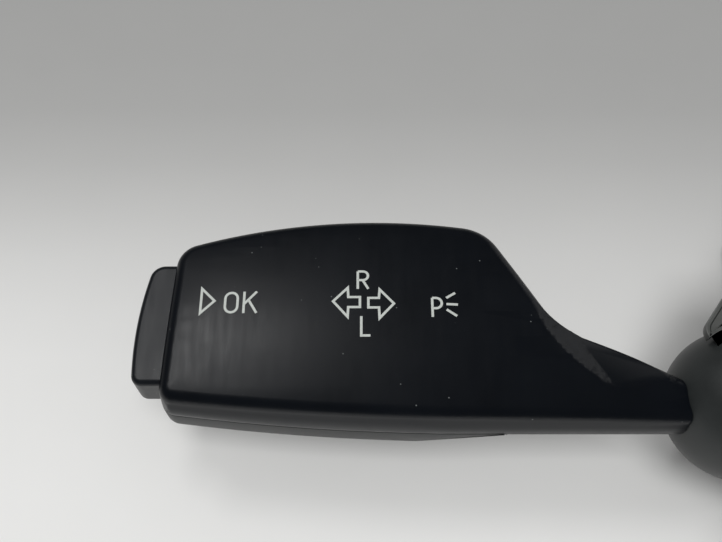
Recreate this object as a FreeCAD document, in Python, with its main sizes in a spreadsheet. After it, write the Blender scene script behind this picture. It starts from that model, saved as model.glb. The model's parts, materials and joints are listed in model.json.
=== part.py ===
"""Steering column switch unit: airbag clock spring, its carrier and two levers.

The unit lies on its back as it is handed over a bench. The origin is on the steering axis at the
rear mounting face, +Z points along the axis towards the driver, +X to the right and +Y up.
Lengths are millimetres and angles are degrees.
"""
import FreeCAD, Part
import math
import os
import re
import Sketcher
from FreeCAD import Placement, Rotation, Vector

doc = FreeCAD.newDocument("ColumnSwitchUnit")

# Driving dimensions: every one is written once, here
SIZES = [
    # Carrier housing
    ("drum_radius", 50.0),          # outside of the round carrier
    ("drum_wall", 2.5),
    ("drum_height", 34.0),          # rear face to the clock spring
    ("floor_level", 6.0),           # underside of the carrier floor
    ("floor_thickness", 3.0),
    ("collar_bore", 22.0),          # slips over the steering column tube
    ("collar_wall", 3.0),
    ("collar_gap", 3.1),            # under the angle code disc
    ("foot_across", 80.0),          # screw to screw, left to right
    ("foot_up", 84.0),              # screw to screw, bottom to top
    ("foot_radius", 7.0),
    ("foot_thickness", 4.0),
    ("foot_hole", 2.75),            # radius, for an M5 screw
    ("gusset_width", 1.8),
    ("gusset_height", 15.0),
    ("floor_ribs", 8.0),
    ("floor_rib_width", 1.8),
    ("rib_count", 24.0),
    ("rib_width", 1.6),
    ("rib_depth", 1.0),
    # Clock spring cassette
    ("base_thickness", 2.5),
    ("cassette_wall", 2.0),
    ("cassette_height", 17.5),      # inside the base plate to the top of the cover
    ("cover_thickness", 2.0),
    ("cover_bore", 30.0),
    ("ear_radius", 4.0),            # screw ears of the cassette
    ("ear_offset", 3.2),            # screw circle outside the drum radius
    ("ear_angle", 60.0),
    ("ear_thickness", 2.5),
    ("mark_half", 1.8),             # raised arrow that shows the centred position
    ("mark_length", 3.6),
    ("mark_height", 0.4),
    ("mark_gap", 1.2),
    ("ribbon_thickness", 0.4),
    ("ribbon_width", 11.0),
    ("ribbon_inner", 28.6),
    ("ribbon_turns", 5.0),
    ("ribbon_margin", 3.4),
    # Rotor
    ("hub_bore", 18.0),             # clears the steering shaft
    ("hub_radius", 24.0),
    ("hub_spigot", 22.5),
    ("hub_proud", 1.6),             # the hub stands out under the code disc
    ("hub_running", 0.05),          # radial clearance of the hub in the base plate
    ("flange_radius", 40.0),
    ("flange_thickness", 2.5),
    ("flange_gap", 0.4),
    ("rim_width", 1.2),
    ("rim_height", 0.8),
    ("nose_radius", 21.0),
    ("nose_height", 3.0),
    ("retainer_radius", 28.0),
    ("retainer_thickness", 1.6),
    ("retainer_gap", 0.3),
    ("disc_thickness", 1.0),
    ("disc_gap", 2.0),
    ("disc_slots", 24.0),
    ("slot_radial", 4.0),
    ("slot_tangential", 2.0),
    ("drive_pin_radius", 2.5),
    ("drive_pin_reach", 29.0),
    ("drive_pin_height", 12.0),
    ("drive_pin_chamfer", 0.6),
    # Plugs on the rotor
    ("airbag_plug_width", 13.0),
    ("airbag_plug_depth", 9.0),
    ("airbag_plug_height", 9.0),
    ("airbag_plug_out", 28.5),
    ("airbag_plug_side", 13.0),
    ("wheel_plug_width", 24.0),
    ("plug_wall", 1.2),
    ("plug_floor", 1.5),
    ("pin_radius", 0.5),
    ("pin_height", 3.5),
    ("pin_pitch", 2.5),
    ("latch_half", 2.0),
    ("latch_out", 0.9),
    ("latch_height", 1.6),
    ("latch_drop", 2.0),
    # Control board and the vehicle plug
    ("board_level", 24.0),
    ("board_thickness", 1.6),
    ("board_inner", 27.0),
    ("board_side", 34.0),
    ("board_edge", 19.0),
    ("tongue_width", 32.0),
    ("tongue_overhang", 7.0),       # board outside the drum, under the terminal block
    ("board_gap", 1.0),
    ("post_radius", 3.0),
    ("post_side", 29.0),
    ("post_up", 25.0),
    ("sensor_width", 10.0),
    ("sensor_inset", 0.5),
    ("sensor_gap", 0.8),
    ("vehicle_plug_width", 31.0),
    ("vehicle_plug_overhang", 11.0),
    ("vehicle_plug_depth", 15.0),
    ("vehicle_plug_end", 2.5),
    ("vehicle_plug_height", 13.0),
    ("vehicle_plug_wall", 1.5),
    ("guide_side", 9.0),
    ("guide_half", 0.7),
    ("guide_height", 0.8),
    ("vehicle_latch_half", 3.5),
    ("vehicle_latch_start", 1.5),
    ("vehicle_latch_length", 3.5),
    ("vehicle_latch_height", 1.2),
    ("vehicle_pin_side", 0.64),
    ("vehicle_pin_length", 7.5),
    ("vehicle_pin_count", 8.0),
    ("vehicle_pin_pitch", 3.2),
    ("block_width", 18.0),
    ("block_gap", 0.3),
    ("block_rise", 1.0),
    ("inner_block_half", 4.0),
    # Screws
    ("screw_shank", 1.6),
    ("screw_head", 3.0),
    ("screw_head_height", 1.8),
    ("screw_length", 11.0),
    ("screw_clearance", 0.1),
    ("small_shank", 1.1),
    ("small_head", 2.1),
    ("small_head_height", 1.4),
    ("small_length", 6.5),
    # Lever pivot and switch case
    ("ball_offset", 10.0),          # drum to the pivot of a lever
    ("ball_height", 24.0),          # rear face to the pivot
    ("ball_radius", 14.0),
    ("ball_wall", 1.8),
    ("ball_open", 2.5),             # the ball is cut off this far behind its centre
    ("case_front", 6.5),
    ("case_back", 25.0),
    ("case_half", 17.0),
    ("case_wall", 2.0),
    ("case_corner", 2.0),
    ("cup_gap", 0.4),
    ("cup_wall", 1.9),
    ("pocket_gap", 0.3),
    ("lid_thickness", 2.0),
    ("wing_tip_out", 8.3),          # outer corner of the lid beside the ball
    ("wing_tip_up", 11.0),
    ("wing_top", 24.0),
    ("wing_slope", 53.0),
    ("wing_nose", 2.1),
    ("wing_drop", 4.0),
    ("wing_foot", 8.0),
    ("wing_corner", 3.0),
    ("lug_half", 2.6),
    ("lug_gap", 0.9),
    ("lug_level", 26.0),
    ("lug_thickness", 2.2),
    # Swivel bracket and its bearings
    ("bracket_half", 5.2),
    ("bracket_tall", 7.2),
    ("bracket_window_half", 3.3),
    ("bracket_window_tall", 4.4),
    ("bracket_out", 4.5),
    ("bracket_in", 6.0),
    ("tail_reach", 15.0),
    ("tail_half", 3.5),
    ("tail_thickness", 1.8),
    ("finger_half", 4.5),
    ("finger_gap", 0.5),
    ("finger_thickness", 2.6),
    ("finger_out", 3.5),
    ("trunnion_radius", 2.2),
    ("trunnion_inset", 0.2),
    ("running_gap", 0.05),
    ("cross_pin_radius", 1.5),
    ("window_half", 7.0),
    ("window_tall", 7.6),
    # Lever arm and detent
    ("arm_half", 3.0),
    ("arm_tall", 2.8),
    ("arm_tail", 14.0),
    ("arm_reach", 46.0),
    ("neck_arm_low", -3.2),
    ("neck_arm_high", 1.2),
    ("neck_arm_back", -0.4),
    ("neck_arm_face", 4.6),
    ("clamp_near", 28.0),           # ribs of both shells that hold the arm between them
    ("clamp_far", 42.0),
    ("arm_step", 8.5),
    ("arm_gap", 0.2),
    ("plunger_radius", 2.0),
    ("plunger_gap", 0.06),
    ("plunger_back", 8.5),
    ("plunger_bore_end", 3.2),
    ("track_reach", 19.5),
    ("tip_gap", 0.3),
    ("track_front", 16.5),
    ("track_half", 9.0),
    ("track_low", 6.0),
    ("track_gap", 1.0),             # under the lid
    ("notch_radius", 1.6),
    ("notch_angle", 7.0),
    ("notch_end", 1.0),
    ("wiper_gap", 0.3),
    ("wiper_length", 3.0),
    ("wiper_half", 2.5),
    # Contact board in the switch case
    ("contact_board_thickness", 1.2),
    ("contact_board_half", 13.0),
    # Handle, outwards from the ball centre and up from the lever axis
    ("parting_level", 2.0),
    ("face_level", 9.4),
    ("back_level", -5.6),
    ("handle_end", 106.6),
    ("end_bottom", -2.4),
    ("end_top", 29.2),
    ("end_lean", 1.3),              # the end is this much shorter at its top corner
    ("belly_start", 50.0),
    ("belly_level", -6.2),
    ("belly_radius", 430.0),
    ("crown_line_radius", 122.0),
    ("shoulder_out", 46.0),
    ("shoulder_up", 33.1),
    ("kink_out", 34.6),
    ("kink_up", 13.6),
    ("neck_end", 9.0),
    ("neck_top", 1.4),
    ("end_corner", 5.0),
    ("end_corner_low", 3.0),
    ("shoulder_corner", 9.0),
    ("kink_corner", 12.0),
    ("face_lean", 13.0),            # the lower wall of the face leans in by this angle
    ("face_fillet", 2.4),
    ("back_fillet", 3.4),
    ("face_crown_length", 800.0),   # radius of the face seen from above or below
    ("face_crown_height", 170.0),   # radius of the face seen from its end
    ("crown_centre_out", 62.0),
    ("crown_centre_up", 13.0),
    ("neck_tilt", 12.0),
    ("crease_foot_up", -4.5),
    ("crease_drop", 0.3),
    ("crease_centre_out", 8.2),     # the crease is an arc about this point
    ("crease_centre_up", 25.6),
    ("crease_radius", 31.8),
    ("crease_slope", 28.0),         # its wall falls to the neck at this angle
    ("crease_depth", 6.0),
    ("neck_lean", 21.0),            # the rear shell is cut back by this angle under the neck
    ("neck_lean_end", 44.0),
    ("neck_taper_end", 67.0),
    ("neck_taper_drop", 6.9),
    ("neck_taper_side", 0.2),
    ("neck_wall", 1.5),
    ("shell_wall", 2.0),
    ("shell_top_wall", 3.2),
    ("parting_gap", 0.16),
    ("ball_seat", 0.1),
    # End button
    ("button_proud", 5.5),          # the button stands out of the handle's end
    ("button_peak", 9.0),           # its outer face reaches out furthest at this height
    ("button_low", 1.9),
    ("button_high", 26.2),
    ("button_inset", 7.6),
    ("button_bottom", -3.0),
    ("button_top", 5.8),
    ("button_arc", 70.0),           # radius of its outer face seen from above
    ("button_corner", 3.0),
    ("button_corner_low", 2.0),
    ("button_fillet", 1.0),
    ("button_gap", 0.35),
    ("button_travel", 1.5),
    ("button_wall", 1.6),
    ("button_rib", 0.9),
    ("button_rib_length", 3.0),
    ("button_spring_length", 9.0),
    ("button_board_half", 8.0),
    ("button_mid", 13.8),
    ("button_spring_radius", 2.4),
    ("core_depth", 4.0),
    ("switch_height", 2.2),
    ("switch_half", 2.0),
    ("switch_side", 5.6),
    ("switch_up", 1.4),
    ("pusher_radius", 1.2),
    ("spring_wire", 0.35),
    ("plunger_spring_radius", 1.5),
    ("shell_screw_near", 58.0),
    ("shell_screw_far", 82.0),
    ("shell_screw_near_up", 22.0),
    ("shell_screw_far_up", 4.0),
    ("shell_boss", 3.0),
    ("shell_head_recess", 0.6),
    ("shell_screw_length", 9.5),
    # Thumb wheel of the wiper lever
    ("wheel_radius", 6.2),
    ("wheel_width", 6.0),
    ("wheel_out", 70.0),
    ("wheel_up", 14.0),
    ("wheel_axle", 1.5),
    ("wheel_axle_length", 12.0),
    ("wheel_slot_gap", 0.5),
    ("wheel_teeth", 20.0),
    ("wheel_tooth_radius", 0.7),
    ("wheel_proud", 1.4),
    ("cradle_length", 3.0),
    ("cradle_half", 3.0),
]

# Places worked out from the driving dimensions
PLACES = [
    ("floor_top", "floor_level + floor_thickness"),
    ("drum_inside", "drum_radius - drum_wall"),
    ("ball_reach", "drum_radius + ball_offset"),
    ("lug_side", "case_half + lug_half + lug_gap"),
    ("lug_reach", "ball_reach - sqrt((drum_inside - screw_head - lug_gap)^2 - lug_side^2)"),
    ("disc_radius", "ball_reach - case_back - disc_gap"),
    ("ribbon_outer", "drum_radius - cassette_wall - ribbon_margin"),
    ("ribbon_pitch", "(ribbon_outer - ribbon_inner) / ribbon_turns"),
    ("board_outer", "drum_inside - board_gap"),
    ("tongue_reach", "drum_radius + tongue_overhang"),
    ("vehicle_plug_reach", "drum_radius + vehicle_plug_overhang"),
    ("vehicle_plug_back", "vehicle_plug_reach - vehicle_plug_depth"),
    ("base_top", "drum_height + base_thickness"),
    ("cassette_top", "base_top + cassette_height"),
    ("ceiling", "cassette_top - cover_thickness"),
    ("flange_level", "cassette_top + flange_gap"),
    ("flange_top", "flange_level + flange_thickness"),
    ("nose_top", "flange_top + nose_height"),
    ("retainer_top", "drum_height - retainer_gap"),
    ("retainer_level", "retainer_top - retainer_thickness"),
    ("disc_level", "retainer_level - disc_thickness"),
    ("collar_height", "disc_level - collar_gap"),
    ("hub_foot", "disc_level - hub_proud"),
    ("ear_circle", "drum_radius + ear_offset"),
    ("board_top", "board_level + board_thickness"),
    ("plug_top", "flange_top + airbag_plug_height"),
    ("drive_pin_top", "flange_top + drive_pin_height"),
    ("case_top", "drum_height - lid_thickness"),
    ("case_low", "floor_top - ball_height"),
    ("case_high", "case_top - ball_height"),
    ("lid_high", "drum_height - ball_height"),
    ("track_high", "case_high - track_gap"),
    ("cup_bore", "ball_radius + cup_gap"),
    ("cup_radius", "cup_bore + cup_wall"),
    ("wall_back", "case_front + case_wall"),
    ("case_inside", "case_back - case_wall"),
    ("contact_level", "case_low + case_wall"),
    ("contact_top", "contact_level + contact_board_thickness"),
    ("finger_low", "bracket_tall + finger_gap"),
    ("finger_high", "finger_low + finger_thickness"),
    ("tip_reach", "track_reach - tip_gap"),
    ("bore_radius", "plunger_radius + plunger_gap"),
    ("shell_floor", "back_level + shell_wall"),
    ("shell_ceiling", "face_level - shell_top_wall"),
    ("button_end", "handle_end + button_proud"),
    ("button_back", "handle_end - button_inset"),
    ("button_board_out", "button_back - button_spring_length"),
    ("button_bow_low", "button_arc - sqrt(button_arc^2 - (button_peak - button_low)^2)"),
    ("button_bow_high", "button_arc - sqrt(button_arc^2 - (button_high - button_peak)^2)"),
    ("wheel_level", "face_level + wheel_proud - wheel_radius"),
]

sizes = doc.addObject("Spreadsheet::Sheet", "Sizes")
for row, (alias, number) in enumerate(SIZES, 1):
    sizes.set(f"A{row}", alias)
    sizes.set(f"B{row}", str(number))
    sizes.setAlias(f"B{row}", alias)
doc.recompute()

SHEET_OF = {alias: "Sizes" for alias, number in SIZES}


def link(formula):
    """Write the sheet's name before every alias of a formula."""
    return re.sub(r"[a-z_]+", lambda word: f"{SHEET_OF[word[0]]}.{word[0]}" if word[0] in SHEET_OF
                  else word[0], formula)


places = doc.addObject("Spreadsheet::Sheet", "Places")
for row, (alias, formula) in enumerate(PLACES, 1):
    places.set(f"A{row}", alias)
    places.set(f"B{row}", "=" + link(formula))
    places.setAlias(f"B{row}", alias)
    SHEET_OF[alias] = "Places"
    doc.recompute()


def value(formula):
    """The number that a formula of aliases gives now."""
    return float(sizes.evalExpression(link(formula)))


def count(alias):
    return int(round(value(alias)))


# Pieces of the levers are drawn about the ball centre of the left lever
ORIGIN = ("0", "0", "0")
BALL = ("-ball_reach", "0", "ball_height")
TURNED = {
    "z": Rotation(),
    "x": Rotation(Vector(0, 1, 0), 90),
    "y": Rotation(Vector(1, 0, 0), -90),
}


def bind(item, **formulas):
    for name, formula in formulas.items():
        item.setExpression(name, link(formula))
    return item


def put(item, place, at=ORIGIN):
    """Bind where an item stands, as three formulas from the given origin."""
    for letter, formula, start in zip("xyz", place, at):
        item.setExpression(f"Placement.Base.{letter}", link(f"{start} + ({formula})"))
    return item


def box(name, across, along, height, at=ORIGIN):
    """A block between two formulas on each axis."""
    item = bind(doc.addObject("Part::Box", name),
                Length=f"({across[1]}) - ({across[0]})",
                Width=f"({along[1]}) - ({along[0]})",
                Height=f"({height[1]}) - ({height[0]})")
    return put(item, (across[0], along[0], height[0]), at)


def rod(name, radius, start, length, axis="z", at=ORIGIN):
    """A cylinder that starts at a place and runs along an axis."""
    item = bind(doc.addObject("Part::Cylinder", name), Radius=radius, Height=length)
    item.Placement = Placement(Vector(), TURNED[axis])
    return put(item, start, at)


def spoke(name, angle, reach, width, height):
    """A block that runs outwards from the origin between two radii, at an angle from +X."""
    item = bind(doc.addObject("Part::Box", name), Length=f"({reach[1]}) - ({reach[0]})",
                Width=width, Height=f"({height[1]}) - ({height[0]})")
    item.Placement = Placement(Vector(), Rotation(Vector(0, 0, 1), angle))
    return put(item, (f"({reach[0]}) * cos({angle}) + {width} / 2 * sin({angle})",
                      f"({reach[0]}) * sin({angle}) - {width} / 2 * cos({angle})", height[0]))


def join(name, shapes):
    item = doc.addObject("Part::MultiFuse", name)
    item.Shapes = shapes
    item.Refine = True
    return item


def cut(name, base, tools):
    item = doc.addObject("Part::Cut", name)
    item.Base = base
    item.Tool = tools[0] if len(tools) == 1 else join(name + "_tools", tools)
    item.Refine = True
    return item


def common(name, shapes):
    item = doc.addObject("Part::MultiCommon", name)
    item.Shapes = shapes
    item.Refine = True
    return item


def body(name, at=ORIGIN):
    return put(doc.addObject("PartDesign::Body", name), ORIGIN, at)


def arc_between(start, end, radius, bulge):
    """The arc from start to end; bulge 1 keeps its centre on the left, -1 on the right."""
    chord = end - start
    rise = math.sqrt(max(radius ** 2 - (chord.Length / 2) ** 2, 0.0))
    left = Vector(-chord.y, chord.x, 0).normalize()
    centre = (start + end) * 0.5 + left * rise * bulge
    first, last = (start, end) if bulge > 0 else (end, start)
    angles = [math.atan2(point.y - centre.y, point.x - centre.x) for point in (first, last)]
    return Part.ArcOfCircle(Part.Circle(centre, Vector(0, 0, 1), radius), *angles)


def draw(sketch, points, arcs=None):
    """Draw a closed outline of bound points; arcs holds radius and bulge of some of its sides."""
    arcs = arcs or {}
    corners = [Vector(value(across), value(up), 0) for across, up in points]
    ends = []
    for number, corner in enumerate(corners):
        following = corners[(number + 1) % len(corners)]
        if number in arcs:
            radius, bulge = arcs[number]
            sketch.addGeometry(arc_between(corner, following, value(radius), bulge))
            ends.append((1, 2) if bulge > 0 else (2, 1))
        else:
            sketch.addGeometry(Part.LineSegment(corner, following))
            ends.append((1, 2))
    for number in range(len(points)):
        after = (number + 1) % len(points)
        sketch.addConstraint(Sketcher.Constraint("Coincident", number, ends[number][1],
                                                 after, ends[after][0]))
    for number, (across, up) in enumerate(points):
        for kind, formula, number_now in (("DistanceX", across, corners[number].x),
                                          ("DistanceY", up, corners[number].y)):
            made = sketch.addConstraint(Sketcher.Constraint(kind, -1, 1, number, ends[number][0],
                                                            number_now))
            sketch.setExpression(f"Constraints[{made}]", link(formula))
    for number, (radius, bulge) in arcs.items():
        made = sketch.addConstraint(Sketcher.Constraint("Radius", number, value(radius)))
        sketch.setExpression(f"Constraints[{made}]", link(radius))


def outline(piece, name, plane, points, arcs=None, level="0"):
    """A sketch on one of the body's own planes."""
    sketch = piece.newObject("Sketcher::SketchObject", name)
    own_plane = [item for item in piece.Origin.OriginFeatures if item.Role == plane][0]
    sketch.AttachmentSupport = [(own_plane, "")]
    sketch.MapMode = "FlatFace"
    sketch.setExpression("AttachmentOffset.Base.z", link(level))
    draw(sketch, points, arcs)
    return sketch


def pad(piece, sketch, length, back=False):
    item = bind(piece.newObject("PartDesign::Pad", sketch.Name + "_pad"), Length=length)
    item.Profile = sketch
    item.Reversed = back
    piece.Tip = item
    return item


def turned(name, points, arcs=None, axis="V_Axis", at=ORIGIN):
    """A body of revolution from its half section."""
    piece = body(name, at)
    sketch = outline(piece, name + "_section", "XZ_Plane", points, arcs)
    item = piece.newObject("PartDesign::Revolution", name + "_turned")
    item.Profile = sketch
    item.ReferenceAxis = (sketch, [axis])
    item.Angle = 360
    piece.Tip = item
    return piece


def edges_where(shape, test):
    """Numbers of the edges whose middle point and direction pass a test."""
    found = []
    for number, edge in enumerate(shape.Edges, 1):
        middle = edge.valueAt((edge.FirstParameter + edge.LastParameter) / 2)
        along = edge.tangentAt((edge.FirstParameter + edge.LastParameter) / 2)
        if test(middle, along, edge):
            found.append(number)
    return found


def rounded(name, base, radius, test):
    """Round the edges of a finished item that pass a test."""
    doc.recompute()
    item = doc.addObject("Part::Fillet", name)
    item.Base = base
    item.Edges = [(number, value(radius), value(radius))
                  for number in edges_where(base.Shape, test)]
    return item


def screw(name, place, shank, head, head_height, length, at=ORIGIN):
    """A pan head screw that points down, its head's underside at the place."""
    across, along, height = place
    parts = [rod(name + "_shank", shank, (across, along, f"{height} - {length}"), length, "z", at),
             rod(name + "_head", head, place, head_height, "z", at)]
    return join(name, parts)


def coil(name, radius, wire, start, length, turns):
    """A compression spring along X of the left lever, its wire in short straight runs."""
    runs = 8
    steps = turns * runs
    around = [2 * math.pi * step / runs for step in range(steps + 1)]
    inset = wire
    pitch = (length - 2 * inset) / steps
    path = [Vector(start.x + inset + pitch * step, start.y + radius * math.cos(angle),
                   start.z + radius * math.sin(angle)) for step, angle in enumerate(around)]
    section = [path[0] + Vector(wire * math.cos(math.pi * side / 3),
                                wire * math.sin(math.pi * side / 3), 0) for side in range(6)]
    pipe = Part.BRepOffsetAPI.MakePipeShell(Part.makePolygon(path))
    pipe.add(Part.makePolygon(section + section[:1]))
    pipe.setTransitionMode(1)
    pipe.build()
    pipe.makeSolid()
    item = doc.addObject("Part::Feature", name)
    item.Shape = pipe.shape()
    return item


pieces = {}


def keep(name, item):
    """Name a finished sub-part; its label is the name of its file."""
    item.Label = name
    pieces[name] = item
    return item


def corners(across, up):
    return [(f"{sign_across}{across}", f"{sign_up}{up}")
            for sign_across in ("-", "") for sign_up in ("-", "")]


# Carrier housing: a moulded drum with a column collar, four feet and pockets for the switches
def carrier_housing():
    drum = turned("drum", [
        ("collar_bore", "0"), ("collar_bore + collar_wall", "0"),
        ("collar_bore + collar_wall", "floor_level"), ("drum_inside", "floor_level"),
        ("drum_inside", "0"), ("drum_radius", "0"), ("drum_radius", "drum_height"),
        ("drum_inside", "drum_height"), ("drum_inside", "floor_top"),
        ("collar_bore + collar_wall", "floor_top"),
        ("collar_bore + collar_wall", "collar_height"), ("collar_bore", "collar_height")])
    feet = []
    holes = []
    for number, (across, up) in enumerate(corners("foot_across / 2", "foot_up / 2")):
        low_up, high_up = (up, "0") if up.startswith("-") else ("0", up)
        feet.append(box(f"foot_web{number}", (f"{across} - foot_radius", f"{across} + foot_radius"),
                        (low_up, high_up), ("0", "foot_thickness")))
        feet.append(rod(f"foot_end{number}", "foot_radius", (across, up, "0"), "foot_thickness"))
        holes.append(rod(f"foot_hole{number}", "foot_hole", (across, up, "-1"),
                         "foot_thickness + 2"))
        for side in ("-", "+"):
            feet.append(foot_gusset(f"gusset{len(feet)}", across, up, side))
    drum_core = rod("drum_core", "drum_inside", ("0", "0", "-1"), "foot_thickness + 2")
    feet_outside = cut("feet_outside", join("feet", feet), [drum_core])
    ribs = [spoke(f"floor_rib{number}", 360.0 * (number + 0.5) / count("floor_ribs"),
                  ("collar_bore + collar_wall / 2", "drum_inside + drum_wall / 2"),
                  "floor_rib_width", ("0", "floor_level + floor_thickness / 2"))
            for number in range(count("floor_ribs"))]
    bosses = []
    pilots = []
    for number, (across, up) in enumerate(EAR_PLACES):
        bosses.append(rod(f"ear_boss{number}", "ear_radius", (across, up, "floor_level"),
                          "drum_height - floor_level"))
        pilots.append(rod(f"ear_pilot{number}", "screw_shank + screw_clearance",
                          (across, up, "drum_height - screw_length"), "screw_length + 1"))
    for number, (across, up) in enumerate(corners("(ball_reach - lug_reach)", "lug_side")):
        bosses.append(rod(f"lug_boss{number}", "screw_head", (across, up, "floor_top"),
                          "lug_level - floor_top"))
        pilots.append(rod(f"lug_pilot{number}", "screw_shank + screw_clearance",
                          (across, up, "lug_level - screw_length"), "screw_length + 1"))
    for number, (across, up) in enumerate(POST_PLACES):
        bosses.append(rod(f"board_post{number}", "post_radius", (across, up, "floor_top"),
                          "board_level - floor_top"))
        pilots.append(rod(f"board_pilot{number}", "small_shank + screw_clearance",
                          (across, up, "board_level - small_length"), "small_length + 1"))
    ear_core = rod("ear_core", "drum_inside", ("0", "0", "-1"), "drum_height + 2")
    outer_bosses = cut("outer_bosses", join("ear_bosses", bosses[:4]), [ear_core])
    pockets = []
    for side in ("-", ""):
        reach = [f"{side}(drum_inside - 6)", f"{side}(drum_radius + 2)"]
        low, high = reach if side == "" else reach[::-1]
        pockets.append(box(f"switch_pocket{side or 'r'}", (low, high),
                           ("-case_half - pocket_gap", "case_half + pocket_gap"),
                           ("floor_top", "drum_height + 1")))
    pockets.append(box("plug_pocket", ("-tongue_width / 2 - pocket_gap",
                                       "tongue_width / 2 + pocket_gap"),
                       ("-drum_radius - 2", "-drum_inside + 6"), ("floor_top", "drum_height + 1")))
    whole = join("carrier_whole", [drum, feet_outside, outer_bosses] + ribs + bosses[4:])
    return cut("carrier_cut", whole, holes + pilots + pockets)


def foot_gusset(name, across, up, side):
    """A three cornered rib on one edge of a foot that stiffens it against the drum."""
    middle = f"({across} {side} (foot_radius - gusset_width / 2))"
    sign = "-" if up.startswith("-") else ""
    start = f"{sign}sqrt((drum_radius - drum_wall / 2)^2 - {middle}^2)"
    piece = body(name)
    sketch = outline(piece, name + "_outline", "YZ_Plane", [
        (start, "foot_thickness / 2"), (up, "foot_thickness / 2"), (up, "foot_thickness"),
        (start, "gusset_height")], level=f"{middle} - gusset_width / 2")
    pad(piece, sketch, "gusset_width")
    return piece


EAR_PLACES = [(f"{across}ear_circle * cos(ear_angle)", f"{up}ear_circle * sin(ear_angle)")
              for across in ("-", "") for up in ("-", "")]
POST_PLACES = [("-post_side", "-post_up"), ("post_side", "-post_up")]


# Clock spring cassette: base plate, cup shaped cover and the flat cable between them
def cassette_base():
    plate = turned("base_plate", [
        ("hub_radius + hub_running", "drum_height"), ("drum_radius", "drum_height"),
        ("drum_radius", "base_top"), ("hub_radius + hub_running", "base_top")])
    ears = []
    holes = []
    for number, (across, up) in enumerate(EAR_PLACES):
        ears.append(rod(f"base_ear{number}", "ear_radius", (across, up, "drum_height"),
                        "base_thickness"))
        holes.append(rod(f"base_ear_hole{number}", "screw_shank + screw_clearance",
                         (across, up, "drum_height - 1"), "base_thickness + 2"))
    bore = rod("base_bore", "hub_radius + hub_running", ("0", "0", "drum_height - 1"),
               "base_thickness + 2")
    return cut("base_cut", join("base_whole", [plate] + ears), holes + [bore])


def cassette_cover():
    cup = turned("cover_cup", [
        ("drum_radius - cassette_wall", "base_top"), ("drum_radius", "base_top"),
        ("drum_radius", "cassette_top"), ("cover_bore", "cassette_top"),
        ("cover_bore", "ceiling"), ("drum_radius - cassette_wall", "ceiling")])
    ears = []
    holes = []
    for number, (across, up) in enumerate(EAR_PLACES):
        ears.append(rod(f"cover_ear{number}", "ear_radius", (across, up, "base_top"),
                        "ear_thickness"))
        holes.append(rod(f"cover_ear_hole{number}", "screw_shank + screw_clearance",
                         (across, up, "base_top - 1"), "ear_thickness + 2"))
    inside = rod("cover_inside", "drum_radius - cassette_wall", ("0", "0", "base_top - 1"),
                 "ear_thickness + 2")
    slot = box("cover_slot", ("-block_width / 2 - block_gap", "block_width / 2 + block_gap"),
               ("-drum_radius - 2", "-drum_inside + 2"), ("base_top - 1", "ceiling - block_gap"))
    ears_outside = cut("cover_ears", join("cover_ear_set", ears), [inside])
    ribs = []
    for number in range(count("rib_count")):
        angle = 360.0 * (number + 0.5) / count("rib_count")
        beside_block = value("(block_width / 2 + rib_width) / drum_radius")
        if math.sin(math.radians(angle)) < 0 and abs(math.cos(math.radians(angle))) < beside_block:
            continue
        ribs.append(spoke(f"cover_rib{number}", angle,
                          ("drum_radius - cassette_wall / 2", "drum_radius + rib_depth"),
                          "rib_width", ("base_top + ear_thickness", "ceiling")))
    arrow = centre_mark("cover_mark", "flange_radius + mark_gap",
                        "flange_radius + mark_gap + mark_length", "cassette_top")
    return cut("cover_cut", join("cover_whole", [cup, ears_outside, arrow] + ribs),
               holes + [slot])


def centre_mark(name, tip, back, level):
    """A raised arrow head on +Y; with the one it faces it shows the centred position."""
    piece = body(name)
    sketch = outline(piece, name + "_outline", "XY_Plane", [
        ("0", tip), ("mark_half", back), ("-mark_half", back)], level=f"{level} - mark_height")
    pad(piece, sketch, "2 * mark_height")
    return piece


def ribbon_cable():
    """The flat cable: half turns that grow by half a pitch, joined into one strip."""
    strips = []
    radius = value("ribbon_inner")
    pitch = value("ribbon_pitch")
    thickness = value("ribbon_thickness")
    for half in range(2 * count("ribbon_turns")):
        centre = Vector(0, 0, 0) if half % 2 == 0 else Vector(0, -pitch / 2, 0)
        first = -90 if half % 2 == 0 else 90
        rim = Part.makeCylinder(radius + thickness / 2, value("ribbon_width"), centre,
                                Vector(0, 0, 1), 180)
        hollow = Part.makeCylinder(radius - thickness / 2, value("ribbon_width"), centre,
                                   Vector(0, 0, 1), 180)
        strip = rim.cut(hollow)
        strip.rotate(centre, Vector(0, 0, 1), first)
        strips.append(strip)
        radius += pitch / 2
    item = doc.addObject("Part::Feature", "ribbon")
    item.Shape = strips[0].multiFuse(strips[1:]).removeSplitter()
    level = value("base_top + (ceiling - base_top - ribbon_width) / 2")
    item.Placement = Placement(Vector(0, 0, level), Rotation())
    return item


def outer_terminal_block():
    lead = box("block_lead", ("-block_width / 2", "block_width / 2"),
               ("-tongue_reach", "-drum_radius - block_gap"),
               ("board_top", "ceiling - block_rise"))
    head = box("block_head", ("-block_width / 2", "block_width / 2"),
               ("-drum_radius - 2 * block_gap", "-ribbon_outer - ribbon_thickness / 2"),
               ("base_top + block_gap", "ceiling - block_rise"))
    return join("outer_block", [lead, head])


def inner_terminal_block():
    block = box("inner_block_body", ("-inner_block_half", "inner_block_half"),
                ("-ribbon_inner + ribbon_thickness / 2 + block_gap", "0"),
                ("base_top + block_rise", "ceiling - block_rise"))
    hub = rod("inner_block_seat", "hub_radius", ("0", "0", "base_top"), "cassette_height")
    return cut("inner_block", block, [hub])


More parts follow.
